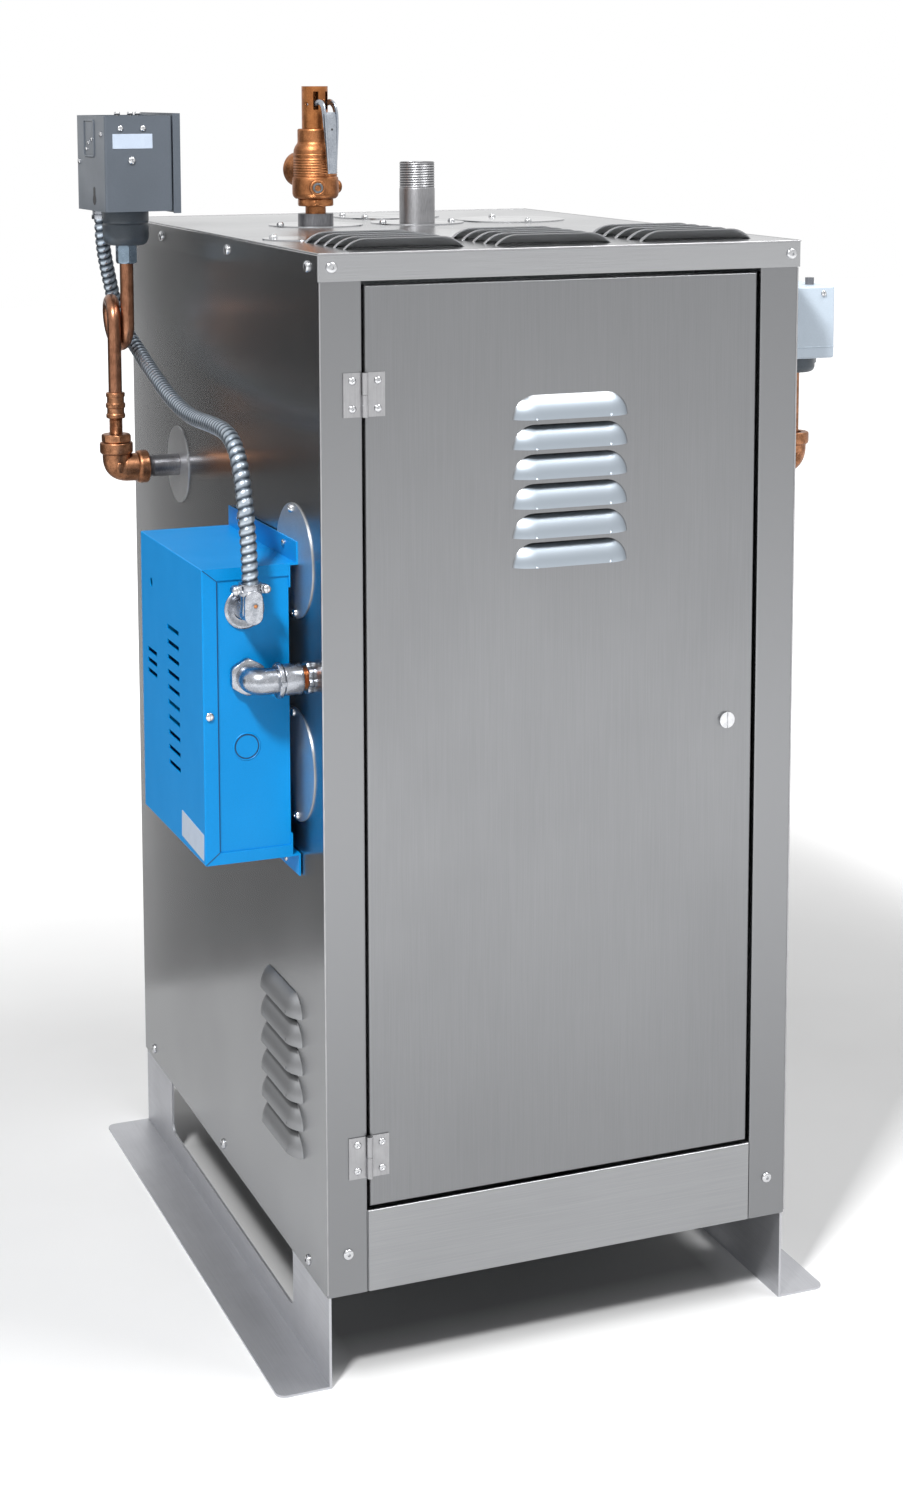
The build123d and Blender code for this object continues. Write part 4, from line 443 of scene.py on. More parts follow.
# Enamel of the controls: grey cases, a darker bellows cup and the pale right case
grey_paint = finish("control_grey_enamel", "#565d66", "#4f565e", 0.36, 1.2, 0.06, 60.0, Metallic=0.0)
dark_paint = finish("bellows_dark_enamel", "#48515a", "#3c444c", 0.42, 1.2, 0.05, 40.0, Metallic=0.0)
pale_paint = finish("case_pale_enamel", "#c4d1de", "#bcc9d6", 0.36, 1.4, 0.04, 60.0, Metallic=0.0)
# Foil plates left bare: pale, with a soft sheen
plate_film = finish("plate_bare_foil", "#bcc8d8", "#b1bdce", 0.42, 0.9, 0.01, 20.0, Metallic=0.0)
# Moulded thermoset: matte, with a fine spark-eroded texture
black_moulding = finish("contactor_moulded_plastic", "#2a2a2c", "#1f1f22", 0.52, 0.8, 0.03, Metallic=0.0)
button_moulding = finish("button_moulded_plastic", "#6e6f73", "#626367", 0.42, 0.8, 0.02, Metallic=0.0)

# Finish of each CAD node
FINISH_OF_NODES = (
    (foot_steel, "left_foot right_foot"),
    (zinc_sheet, "floor_pan inner_wall"),
    (side_stainless, "left_side_panel right_side_panel"),
    (back_stainless, "back_panel bottom_rail"),
    (lid_stainless, "lid"),
    (door_stainless, "door"),
    (bright_steel, "door_latch"),
    (hinge_steel, "hinge_post_leaves hinge_door_leaves"),
    (black_moulding, "contactor_bank"),
    (vessel_primer, "vessel_shell vessel_top_head vessel_bottom_head vessel_skirt"),
    (pipe_iron, "steam_outlet_nipple safety_valve_coupling side_nipples"),
    (disc_steel, "lid_escutcheons lid_blanks"),
    (bronze, "safety_valve_body"),
    (turned_bronze, "safety_valve_cap"),
    (lever_metal, "safety_valve_lever"),
    (red_bronze, "bronze_elbows reducing_bushing siphon_fitting right_riser"),
    (copper, "siphon_loop"),
    (dark_paint, "control_bellows right_control_bellows"),
    (grey_paint, "control_case control_cover_plate"),
    (zinc_cast, "control_connector angle_connector elbow_connector"),
    (conduit_steel, "flexible_conduit"),
    (blue_paint, "switch_box_body switch_box_cover switch_box_brackets"),
    (side_disc_steel, "side_discs"),
    (pale_paint, "right_control_case"),
    (button_moulding, "reset_button"),
)
for node_finish, node_names in FINISH_OF_NODES:
    for node_name in node_names.split():
        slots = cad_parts[node_name].data.materials
        slots.clear()
        slots.append(node_finish)


def piece(name, shapes, main_finish, replaces=(), sharp=35.0, body="boiler"):
    """Mesh of one or more shapes, in metres, that rides on a body and may stand for CAD nodes.

    A shape that comes with a material, as a pair, keeps it, and the others get the main finish. An
    edge sharper than the angle given stays crisp.
    """
    pairs = [entry if isinstance(entry[1], bpy.types.Material) else (entry, main_finish) for entry in shapes]
    finishes = []
    for _, used in pairs:
        if used not in finishes:
            finishes.append(used)
    points, quads, fans = joined([shape for shape, _ in pairs])
    mesh = bpy.data.meshes.new(name)
    mesh.from_pydata((points * MM).tolist(), [], quads.tolist() + fans.tolist())
    for used in finishes:
        mesh.materials.append(used)
    if len(finishes) > 1:
        quad_slots = np.concatenate([np.full(len(s[1]), finishes.index(f)) for s, f in pairs])
        fan_slots = np.concatenate([np.full(len(s[2]), finishes.index(f)) for s, f in pairs])
        mesh.polygons.foreach_set("material_index", np.concatenate([quad_slots, fan_slots]).astype(np.int32))
    mesh.validate()
    mesh.update()
    mesh.shade_smooth()
    mesh.set_sharp_from_angle(angle=math.radians(sharp))
    made = in_scene(name, mesh)
    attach(made, body)
    if replaces:
        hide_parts(*replaces)
    return made


def mark_groove_shade(made, depth):
    """Keep on each point how deep it lies between the ridges, from 0 to 1, for the material to darken there: painted
    shade.
    """
    groove_shade = made.data.attributes.new("groove_shade", "FLOAT", "POINT")
    groove_shade.data.foreach_set("value", np.clip(depth, 0, 1))


# Flexible conduit: a ribbed hose on the route's own smooth curve
CONDUIT_ROUTE = (
    (-396, 218, 1365.5), (-396, 218, 1338), (-389, 235, 1306), (-378, 254, 1272), (-368, 266, 1236),
    (-357, 253, 1200), (-350, 217, 1179), (-352, 168, 1166), (-356, 98, 1152), (-361, 8, 1135.5),
    (-367, -105, 1126), (-372, -222, 1132), (-375, -292, 1131), (-376, -329, 1116), (-377, -353, 1086),
    (-377, -367, 1040), (-375, -371, 996), (-375, -371, 955),
)
CONDUIT_START, CONDUIT_END = CONDUIT_ROUTE[0][:2], CONDUIT_ROUTE[-1][:2]
CONDUIT_RADIUS = 10.0
CONDUIT_RIB_PITCH = 10.4
CONDUIT_RIB_DEPTH = 2.4


def curve_points(route):
    """Points along the quadratic NURBS whose control points are the route, in millimetres."""
    curve = bpy.data.curves.new("conduit_route", "CURVE")
    curve.dimensions = "3D"
    curve.resolution_u = 24
    spline = curve.splines.new("NURBS")
    spline.points.add(len(route) - 1)
    spline.points.foreach_set("co", np.hstack([np.array(route) * MM, np.ones((len(route), 1))]).ravel())
    spline.order_u = 3
    spline.use_endpoint_u = True
    holder = in_scene("conduit_route", curve)
    bpy.context.view_layer.update()
    mesh = bpy.data.meshes.new_from_object(holder)
    points = np.empty(len(mesh.vertices) * 3)
    mesh.vertices.foreach_get("co", points)
    bpy.data.objects.remove(holder)
    bpy.data.meshes.remove(mesh)
    bpy.data.curves.remove(curve)
    return points.reshape(-1, 3) / MM


def evenly(points, step):
    """The same line with points a fixed step apart, by straight interpolation on its length."""
    length = np.concatenate([[0], np.cumsum(np.linalg.norm(np.diff(points, axis=0), axis=1))])
    at = np.linspace(0, length[-1], int(length[-1] / step) + 1)
    return np.stack([np.interp(at, length, points[:, k]) for k in range(3)], -1), at


conduit_line, conduit_along = evenly(curve_points(CONDUIT_ROUTE), 1.15)
rib_angle = around(28)
rib_turn = (conduit_along[:, None] / CONDUIT_RIB_PITCH - rib_angle / TURN) % 1
rib_radius = CONDUIT_RADIUS - CONDUIT_RIB_DEPTH * (1 - np.sin(math.pi * rib_turn) ** 0.6)
rib_section = np.stack([rib_radius * np.cos(rib_angle), rib_radius * np.sin(rib_angle)], -1)
hose = swept(conduit_line, rib_section)
conduit = piece("ribbed_conduit", [hose], conduit_steel, ["flexible_conduit"], 80)
# Each point's depth between the ribs sets how much painted shade the conduit gets there
mark_groove_shade(conduit, np.append((1 - np.sin(math.pi * rib_turn) ** 2).ravel(), [0, 0]))

# Screws of the lid and the panels, and the rivets of the hinges
panel_screw = socket_screw(6.8, 3.4, 4.0)
LID_RIM_X, LID_RIM_Y = 307.3, 421.3
lid_screws = [seat((x, -LID_RIM_Y, 1330), FRONT) for x in (-291, 294)]
lid_screws += [seat((side * LID_RIM_X, y, 1329.5), (side, 0, 0)) for side in (-1, 1) for y in (-385, -70, 240)]
lid_screws += [seat((x, LID_RIM_Y, 1330), BACK) for x in (-270, 0, 270)]
piece("lid_screws", [placed_at_each(panel_screw, lid_screws)], bright_steel)
panel_screws = [seat((x, CABINET_FRONT, 165), FRONT) for x in (-279, 279)]
panel_screws += [seat((side * 305, y, 130), (side, 0, 0)) for side in (-1, 1) for y in (-347, 10, 366)]
panel_screws += [seat((x, -CABINET_FRONT, z), BACK) for x in (-292, 292) for z in (170, 560, 950, 1290)]
piece("panel_screws", [placed_at_each(panel_screw, panel_screws)], bright_steel)
hinge_rivet = rivet(4.6, 2.3)
HINGE_FACE, HINGE_HEIGHTS = -420.5, (1185, 282)
for name, body, x in (("hinge_rivets_post", "boiler", -267), ("hinge_rivets_door", "door", -236.3)):
    seats = [seat((x, HINGE_FACE, centre + offset), FRONT) for centre in HINGE_HEIGHTS for offset in (-16, 16)]
    piece(name, [placed_at_each(hinge_rivet, seats)], bright_steel, body=body)

# Folds of the lid and the side panels: the bend stands a hair proud and catches a line of light
fold_section = circle(1.1, 12)
LID_FOLD_X, LID_FOLD_Y, LID_FOLD_Z = 306.6, 420.6, 1345.3
POST_FOLD_X, POST_FOLD_Y = 304.3, -418.3
lid_folds = [((LID_FOLD_X, y, LID_FOLD_Z), (-LID_FOLD_X, y, LID_FOLD_Z)) for y in (-LID_FOLD_Y, LID_FOLD_Y)]
lid_folds += [((x, -LID_FOLD_Y, LID_FOLD_Z), (x, LID_FOLD_Y, LID_FOLD_Z)) for x in (-LID_FOLD_X, LID_FOLD_X)]
post_folds = [((x, POST_FOLD_Y, 118), (x, POST_FOLD_Y, 1313)) for x in (-POST_FOLD_X, POST_FOLD_X)]
folds = [swept(evenly(np.array(line), 60)[0], fold_section, UP) for line in lid_folds]
folds += [swept(evenly(np.array(line), 60)[0], fold_section) for line in post_folds]
piece("sheet_folds", folds, hinge_steel, sharp=60)

# Steam outlet: a steel nipple with a cut thread on top
OUTLET_AXIS = (18.5, 120)
OUTLET_BORE, OUTLET_THREAD, OUTLET_THREAD_DEPTH, OUTLET_THREAD_START = 20.45, 24.0, 0.8, 1394
outlet_profile = [(24.15, 1240), (24.15, 1392.5), (23.6, OUTLET_THREAD_START)]
outlet_profile += [(OUTLET_BORE, OUTLET_THREAD_START), (OUTLET_BORE, 1240)]
outlet_thread = threaded(OUTLET_THREAD, 34.4, 3.4, OUTLET_THREAD_DEPTH, 64, 10, bore=OUTLET_BORE)
outlet_thread = placed(outlet_thread, seat((0, 0, OUTLET_THREAD_START), UP, BACK))
outlet_lip = turned([(23.0, 1428.3), (22.6, 1429), (20.9, 1429), (OUTLET_BORE, 1428.3)], 64, closed=True)
outlet_place = seat((*OUTLET_AXIS, 0), UP, BACK)
outlet_pipe = placed(turned(outlet_profile, 64, closed=True), outlet_place)
outlet_top = placed(joined([outlet_thread, outlet_lip]), outlet_place)
outlet_parts = [outlet_pipe, (outlet_top, cut_steel)]
steam_outlet = piece("threaded_steam_outlet", outlet_parts, outlet_steel, ["steam_outlet_nipple"])
# How deep each point lies in the cut thread, for the painted shade in its roots
outlet_points = joined([outlet_pipe, outlet_top])[0]
outlet_radius = np.hypot(outlet_points[:, 0] - OUTLET_AXIS[0], outlet_points[:, 1] - OUTLET_AXIS[1])
on_thread = (outlet_points[:, 2] > OUTLET_THREAD_START + 0.5) & (outlet_radius > OUTLET_BORE + 0.15)
mark_groove_shade(steam_outlet, np.where(on_thread, (OUTLET_THREAD - outlet_radius) / OUTLET_THREAD_DEPTH, 0))

# Screws of the discs on the lid and the side
disc_screw = rivet(5.2, 4.2)
disc_tops = [
    (-31.5, 120), (68.5, 120), (-177, 120), (164, 76), (164, 204), (-19, 322),
    (-9, 255), (89, 254), (79, 322), (-270, -142), (-226, -178),
]
disc_seats = [seat((x, y, LID_DISC_TOP), UP, BACK) for x, y in disc_tops]
disc_seats += [seat((SIDE_DISC_FACE, y, z), LEFT) for y, z in ((-316, 1042), (-328, 920), (-316, 798), (-328, 676))]
piece("disc_screws", [placed_at_each(disc_screw, disc_seats)], bright_steel)

# Safety valve: X away from the outlet, towards the lever, and Y along the lever's pin
LEVER_OUTWARD = np.array((0.28, -0.96, 0.0))
LEVER_ACROSS = np.array((0.96, 0.28, 0.0))
VALVE_AXIS = np.array((-127.0, 120.0, 0.0))
FRONT_BOSS = (-0.227, -0.974, 0)
valve_place = seat(VALVE_AXIS, UP, LEVER_ACROSS)


def on_valve(shape, height, direction):
    """The shape stood on the valve's axis, with its own Z along a level direction."""
    return placed(shape, seat(VALVE_AXIS + (0, 0, height), direction))


valve_ribs = [(29.2 + 0.4 * math.cos(TURN * (z - 1413) / 3.5), z) for z in np.arange(1413, 1436, 0.7)]
valve_body_profile = [
    (12.6, 1345), (13.7, 1346.2), (13.7, 1373), (20, 1381.4), (27, 1382), (30, 1385), (31, 1388.5),
    (31, 1406), (30.4, 1410), (29.3, 1411), (28.5, 1412), *valve_ribs, (28.7, 1437.2),
    (29.3, 1438.4), (29.3, 1440.6), (28.7, 1441.8), (29, 1443), (28.6, 1447), (26.8, 1451.5),
    (24.3, 1455), (23.5, 1457.5), (23.5, 1472.6), (22.7, 1474.6), (17.2, 1475),
]
valve_outlet_profile = [
    (21.6, 8), (21.8, 30), (22.8, 33), (23, 36), (23, 43), (22.2, 44), (18, 44), (17, 43), (17, 30),
]
valve_plug_profile = [(9.4, 20), (9.5, 34), (9, 37), (7, 39), (3.5, 40)]
front_boss_profile = [(11.5, 20), (11, 33), (10.4, 34.6), (8, 35), (7.4, 34.4)]
boss_socket = turned([(7, 30), (7, 34.8), (6.4, 35.4), (4.4, 35.4), (3.8, 34.6), (3.6, 31)], 36)
valve_parts = [
    placed(turned(eased(valve_body_profile, 0.5, 2), 72), valve_place),
    placed(nut(46, 10), (VALVE_AXIS + (0, 0, 1372), valve_place[1])),
    on_valve(turned(eased(valve_outlet_profile, 0.5, 2), 56), 1420, -LEVER_OUTWARD),
    on_valve(turned(eased(valve_plug_profile, 1.2, 3), 40), 1397, LEVER_ACROSS),
    on_valve(turned(eased(front_boss_profile, 0.5, 2), 40), 1397, FRONT_BOSS),
    (on_valve(boss_socket, 1397, FRONT_BOSS), plug_steel),
]
piece("cast_safety_valve", valve_parts, bronze, ["safety_valve_body"], 40)

# Try lever: two cheeks from the slots of the cap run into the rims of a forged handle
lever_line = eased([(1, 1507), (12, 1507.5), (24, 1511), (32, 1506), (36.2, 1492), (37.6, 1470), (38.6, 1416)], 9, 5)
lever_line = evenly(np.insert(lever_line, 1, 0.0, 1), 1.6)[0]
lever_share = np.linspace(0, 1, len(lever_line))
cheek_offset = np.interp(lever_share, [0, 0.2, 0.36, 0.5, 1], [8.5, 8.6, 9.6, 9.4, 5.4])
lever_width = np.interp(lever_share, [0, 0.3, 0.45, 1], [7.4, 8.4, 7.0, 4.4])


def strip(across, deep, corner, steps=2):
    """Section of a strip for each row: a rounded rectangle stretched to that row's two sizes."""
    x, y = rounded_outline(10.0, 10.0, corner, steps)
    across, deep = np.broadcast_arrays(across, deep)
    wider, deeper = (across[:, None] - 10) / 2, (deep[:, None] - 10) / 2
    return np.stack([x + np.sign(x) * wider, y + np.sign(y) * deeper], -1)


lever_parts = []
for side in (-1, 1):
    line = lever_line + side * cheek_offset[:, None] * np.array(BACK)
    lever_parts.append(swept(line, strip(2.8, lever_width, 1.1), BACK))
web_rows = slice(int(0.34 * len(lever_line)), None)
web_line = lever_line[web_rows] + np.array((0.9, 0, 0))
web_share = np.linspace(0, 1, len(web_line))
web_width = 2 * cheek_offset[web_rows] * np.interp(web_share, [0, 0.06, 1], [0.75, 1, 1])
lever_parts.append(swept(web_line, strip(web_width, 2.6, 1.1), BACK))
lever_pin = turned([(1.5, -15.6), (2.4, -15), (2.45, 15), (1.5, 15.6)], 20)
lever_parts.append(placed(lever_pin, seat((5, 0, 1507), BACK)))
lever_parts = [placed(part, valve_place) for part in lever_parts]
# The lever's two holes are dark discs laid on its face: painted shade
hole_shade_disc = turned([(0.3, -0.1), (1.7, -0.1), (1.7, 0.25), (0.3, 0.25)], 16)
lever_hole_shades = placed_at_each(hole_shade_disc, [seat((x, 0, z), (1, 0, 0.02)) for x, z in ((39.3, 1474), (39.9, 1424))])
lever_parts.append((placed(lever_hole_shades, valve_place), black_moulding))
piece("forged_try_lever", lever_parts, lever_metal, ["safety_valve_lever"], 50, "valve_lever")


# Bronze fittings of the two side controls
SIPHON_AXIS = (-391, 180)


def pipe_elbow(x, y, z, side):
    """Elbow with a beaded collar on top and one on its side: a tube along a rounded corner."""
    centre = np.array((x, y, z), float)
    path = eased([(0, 0, 24), (0, 0, 0), (side * 32, 0, 0)], 22, 10)
    share = np.linspace(-1, 1, len(path))
    tube = swept(path + centre, circle(17.6 + 1.2 * share**2, 40), BACK)
    collar_profile = [(17.5, 18), (21.2, 20.5), (22, 22.5), (22, 33.5), (21, 35), (13, 35), (12.6, 32)]
    band_profile = [(17.5, 26), (21, 28.5), (22, 31), (22, 40.4), (21, 42), (15.2, 42), (14.7, 36)]
    collar, band = (turned(eased(profile, 0.8, 2), 48) for profile in (collar_profile, band_profile))
    ridge = stamped(9, 15, 4.4, [(0, -2), (0, 0.4), (1, 1.4), (2.2, 1.7)])
    return [
        tube,
        placed(collar, upright(x, y, z)),
        placed(band, seat(centre, (side, 0, 0))),
        placed(ridge, seat(centre + (0, -17.6, 2), FRONT)),
    ]


elbow_parts = pipe_elbow(*SIPHON_AXIS, 1024, 1) + pipe_elbow(366, -300, 1060, -1)
piece("beaded_elbows", elbow_parts, red_bronze, ["bronze_elbows"], 45)
fitting_profile = [
    (9, 1091), (11.4, 1091.2), (12.7, 1092.6), (12.7, 1096.4), (11.4, 1098), (11.4, 1104.6), (13, 1106.2),
    (13, 1110.8), (11.4, 1112.4), (11.4, 1119.4), (12.6, 1121), (12.6, 1124.8), (11.8, 1126), (9.1, 1126),
]
fitting_parts = [
    placed(nut(36, 11, 9.0), upright(*SIPHON_AXIS, 1059)),
    placed(turned(eased(fitting_profile, 0.6, 2), 40), upright(*SIPHON_AXIS)),
    placed(threaded(9.0, 45, 1.6, 0.7, 32, 5), upright(*SIPHON_AXIS, 1046)),
]
piece("siphon_union", fitting_parts, red_bronze, ["reducing_bushing", "siphon_fitting"], 40)
nipple_thread = threaded(14.6, 20, 1.8, 1.0, 48, 6, bore=10.5)
left_pipe = turned([(14.6, 20), (14.6, 160), (10.5, 160), (10.5, 20)], 48, closed=True)
right_pipe = turned([(14.6, 20), (14.6, 60), (10.5, 60), (10.5, 20)], 48, closed=True)
left_seat, right_seat = seat((-361, 180, 1024), RIGHT), seat((336, -300, 1060), LEFT)
nipple_parts = [placed(shape, left_seat) for shape in (nipple_thread, left_pipe)]
nipple_parts += [placed(shape, right_seat) for shape in (nipple_thread, right_pipe)]
nipple_parts.append(placed(nut(42, 8, 14.6), seat((303, -300, 1060), LEFT)))
piece("threaded_side_nipples", nipple_parts, pipe_iron, ["side_nipples"], 60)

# Nut under the pressure control, and the screws, window, plate and terminals of its case
CONTROL_TURN = math.radians(4.0)
CONTROL_HALF_DEPTH, CONTROL_HALF_WIDTH, CONTROL_FLOOR = 60, 46, 1483
control_across = np.array((math.cos(CONTROL_TURN), math.sin(CONTROL_TURN), 0))
control_back = np.array((-math.sin(CONTROL_TURN), math.cos(CONTROL_TURN), 0))
control_middle = np.array((-374.6, 172.0, 0.0))


def control_front(x, z):
    """Place on the control's front face."""
    return seat(control_middle + control_across * x - control_back * CONTROL_HALF_DEPTH + (0, 0, z), -control_back)


def control_left(y, z):
    """Place on the control's left face."""
    return seat(control_middle - control_across * CONTROL_HALF_WIDTH + control_back * y + (0, 0, z), -control_across)


def control_top(x, y, z):
    """Place over the control's open top."""
    return seat(control_middle + control_across * x + control_back * y + (0, 0, z), UP, BACK)


small_screw, large_screw = slotted_screw(3.6, 2.6, 1.0, 1.2), slotted_screw(4.7, 3.2, 1.2, 1.5)
case_seats = [control_front(x, 1477.5) for x in (-24.9, 5.6)]
case_seats += [control_left(y, z) for y, z in ((-46, 1470), (49.4, 1433))]
control_screws = [placed_at_each(small_screw, case_seats), placed(large_screw, control_front(-10.1, 1436))]
post = turned([(2.2, 0), (2.2, 11), (3.8, 11.4), (4, 12.4), (4, 14.6), (3.4, 15.4), (1.2, 15.6)], 16)
post_seats = [control_top(x, y, CONTROL_FLOOR) for x, y in ((-19, -30), (0, -26), (9, -30))]
control_screws.append(placed_at_each(post, post_seats))
piece("control_screws", control_screws, bright_steel, sharp=40)
bare_plate = placed(stamped(54, 19, 0.8, [(0, 0), (0, 0.35), (0.2, 0.5)]), control_front(-8.5, 1460.7))
piece("control_bare_plate", [bare_plate], plate_film)
rim_levels = [(3.2, 0), (3, 1.1), (2.2, 1.5), (0.9, 1.4), (0, 0.5), (0, 0)]
window_rim = stamped(44, 50, 5, rim_levels, closed=True, steps=5)
window_back = stamped(38, 44, 3, [(0, 0), (0, 0.25), (0.4, 0.3)])
# The keyhole is a dark plate laid on the case: painted shade
key_slot_shade = stamped(8, 24, 3.9, [(0, 0), (0, 0.2)])
keyhole_shade = joined([key_slot_shade, placed(turned([(6.6, 0), (6.6, 0.25)], 24), upright(0, -5))])
dial_seats = [control_left(y, z) for y, z in ((7, 1458), (-7, 1463), (16, 1450))]
window_parts = [
    placed(window_rim, control_left(5, 1464)),
    (placed(window_back, control_left(5, 1464)), grey_paint),
    (placed(keyhole_shade, control_left(-12.5, 1389)), black_moulding),
    (placed_at_each(slotted_screw(2.6, 2.4, 0.8, 0.8), dial_seats), bright_steel),
]
piece("control_window", window_parts, grey_paint)
bellows_profile = [
    (9.2, 1322), (24, 1322.6), (28.4, 1326.5), (30.3, 1332), (30.5, 1350),
    (29.6, 1352), (30.5, 1354), (30.5, 1369.5), (20, 1369.5),
]
bellows_parts = [
    placed(turned(eased(bellows_profile, 2.5, 3), 56), upright(-372.6, 180)),
    (placed(nut(25, 26, 9.05), upright(-372.6, 180, 1298)), nut_steel),
]
piece("control_bellows_cup", bellows_parts, dark_paint, ["control_bellows"], 40)
connector_profile = [
    (10.1, 1355.5), (12.6, 1355.5), (13, 1356.5), (13, 1361), (11.8, 1362),
    (11.8, 1366), (13, 1367), (13, 1369.5), (10.1, 1369.5),
]
start_connector = placed(turned(connector_profile, 40, closed=True), upright(*CONDUIT_START))
piece("start_connector", [start_connector], zinc_cast, ["control_connector"], 40)

# Angle connector: a squeeze clamp for the conduit on a rounded elbow with a washer behind it
angle_path = eased([(-375, -337, 934), (*CONDUIT_END, 934), (*CONDUIT_END, 966)], 13, 6)
angle_section = np.stack(rounded_outline(21.5, 22.5, 9.0, 4), -1)
clamp_bar = stamped(45, 10.5, 5.2, [(1.2, -6), (0, -5), (0, 4.5), (1.2, 5.8)], steps=5)
clamp_profile = [
    (10.15, 955), (13.4, 955), (14, 956.4), (14, 960), (13, 961),
    (13, 966), (13.8, 967), (13.6, 968.6), (10.15, 968.8),
]
clamp_collar = turned(clamp_profile, 40, closed=True)
washer_profile = [(13.5, 0), (23.4, 0), (24, 0.8), (24, 2), (22.8, 3.2), (20.6, 3.6), (18.8, 2.6), (13.5, 2.6)]
washer = turned(washer_profile, 56, closed=True)
strap = stamped(21.5, 40, 10.6, [(0, -3), (0, 1.9), (0.8, 2.7)], steps=7)
inspection_ring = turned([(2.1, 0), (3.6, 0), (3.6, 0.6), (2.6, 0.9), (2.1, 0.2)], 20, closed=True)
inspection_seat = seat((-373, -385.4, 944), FRONT)
clamp_seats = [seat((x, -377.4, 961.5), FRONT) for x in (-393, -357)]
angle_parts = [
    swept(angle_path, angle_section),
    placed(clamp_bar, seat((*CONDUIT_END, 961.5), FRONT)),
    placed(clamp_collar, upright(*CONDUIT_END)),
    placed(washer, seat((-372, BOX_FRONT, 932), FRONT)),
    placed(strap, seat((-374.5, -382.7, 942), FRONT)),
    placed(inspection_ring, inspection_seat),
    (placed(turned([(2.0, 0), (2.0, 0.3)], 16), inspection_seat), brass_thread),
    (placed_at_each(slotted_screw(4.6, 3.4, 1.2, 1.4), clamp_seats), bright_steel),
]
piece("squeeze_connector", angle_parts, zinc_cast, ["angle_connector"], 40)

# Elbow connector: hexagon, tube, ring nut with a lug, barrel, thread and toothed locknut
ELBOW_X, ELBOW_Y, ELBOW_Z = -370, -371, 852
elbow_path = eased([(ELBOW_X, -344, ELBOW_Z), (ELBOW_X, ELBOW_Y, ELBOW_Z), (-344, ELBOW_Y, ELBOW_Z)], 17, 8)
ring_profile = [(13.5, 0), (19.6, 0), (21, 1.6), (21, 5.2), (19.6, 7), (13.5, 7)]
ring_nut = turned(eased(ring_profile, 0.5, 2, closed=True), 48, closed=True)
ring_lug = placed(cube_edges(6, 5, 7, 0.8), upright(-21.5, 0))
barrel_profile = [(13, 0), (17.4, 0), (18.5, 1.4), (18.5, 21.4), (17.4, 23), (13, 23)]
barrel = turned(eased(barrel_profile, 0.5, 2, closed=True), 56, closed=True)
tooth_angle = around(96)
tooth_radius = 17.9 + 1.2 * np.tanh(4 * np.sin(8 * tooth_angle))
tooth_levels, tooth_scale = np.array([0, 0.5, 4.5, 5, 5, 0]), np.array([0.97, 1, 1, 0.97, 0, 0])
tooth_rings = np.where(tooth_scale[:, None] > 0, tooth_radius * tooth_scale[:, None], 14.9)
locknut = rings_round_z(tooth_rings, tooth_levels, tooth_angle, closed=True)
elbow_connector_parts = [
    swept(elbow_path, circle(15.4, 40), (0, 0, 1)),
    placed(nut(40, 9.5, 13.5), seat((ELBOW_X, BOX_FRONT, ELBOW_Z), FRONT)),
    placed(joined([ring_nut, ring_lug]), seat((-345.5, ELBOW_Y, ELBOW_Z), RIGHT)),
    placed(barrel, seat((-338.5, ELBOW_Y, ELBOW_Z), RIGHT)),
    (placed(threaded(15.0, 18.0, 1.8, 1.1, 48, 6), seat((-315.5, ELBOW_Y, ELBOW_Z), RIGHT)), brass_thread),
    placed(locknut, seat((-310, ELBOW_Y, ELBOW_Z), RIGHT)),
]
piece("hex_elbow_connector", elbow_connector_parts, zinc_cast, ["elbow_connector"], 40)

# Switch box: knockout, screws, corner seams and a bare plate
knockout = turned([(14.8, 0), (15.1, 0.5), (15.8, 0.9), (16.6, 0.5), (16.9, 0)], 48, closed=True)
seam_section = np.stack(rounded_outline(1.0, 0.8, 0.25, 1), -1)
seam_lines = [
    ((-422.2, 980.2), (-405.5, 966.5)), ((-422.2, 630.8), (-405.5, 644.5)), ((-405.2, 966), (-405.2, 646)),
]
seam_paths = [evenly(np.array([(x, -338.1, z) for x, z in line]), 4)[0] for line in seam_lines]
seams = [swept(path, seam_section, BACK) for path in seam_paths]
knockout_seat = seat((-370.5, BOX_FRONT, 768), FRONT)
knockout_groove = turned([(13.4, 0), (13.5, 0.3), (14.9, 0.3), (15, 0)], 48, closed=True)
box_dark_lines = joined([*seams, placed(knockout_groove, knockout_seat)])
box_parts = [placed(knockout, knockout_seat), (box_dark_lines, seam_paint)]
piece("box_knockout_and_seams", box_parts, blue_paint)
box_screws = [placed(slotted_screw(4.8, 3.4, 1.3, 1.5), seat((-415.5, -338, 808), FRONT))]
ear_seats = [seat((-308.5, y, z), LEFT) for y in (-291, -111) for z in (997, 614)]
box_screws.append(placed_at_each(slotted_screw(4.2, 2.8, 1.2, 1.3), ear_seats))
piece("box_screws", box_screws, bright_steel, sharp=40)
box_plate = placed(stamped(94, 32, 1.2, [(0, 0), (0, 0.3), (0.2, 0.45)]), seat((-423, -286, 653), LEFT, (0, -0.05, 1)))
piece("box_bare_plate", [box_plate], plate_film)

# Right side control: cover seam, two screws and a cable knob underneath
right_seam = stamped(88.8, 110.8, 3.4, [(0.4, 0), (0, 0.3), (0, 1.1), (0.4, 1.4)], steps=5)
knob_profile = [(4, -9), (6.4, -8.4), (6.6, -2), (7.6, -1.6), (7.6, 0.5)]
right_parts = [
    placed(right_seam, upright(365, -275, 1204)),
    (placed_at_each(small_screw, [seat((x, -330, 1272), FRONT) for x in (338, 392)]), bright_steel),
    (placed(turned(eased(knob_profile, 0.6, 2), 24), upright(393, -300, 1190)), plug_steel),
]
piece("right_control_trim", right_parts, pale_paint, sharp=40)

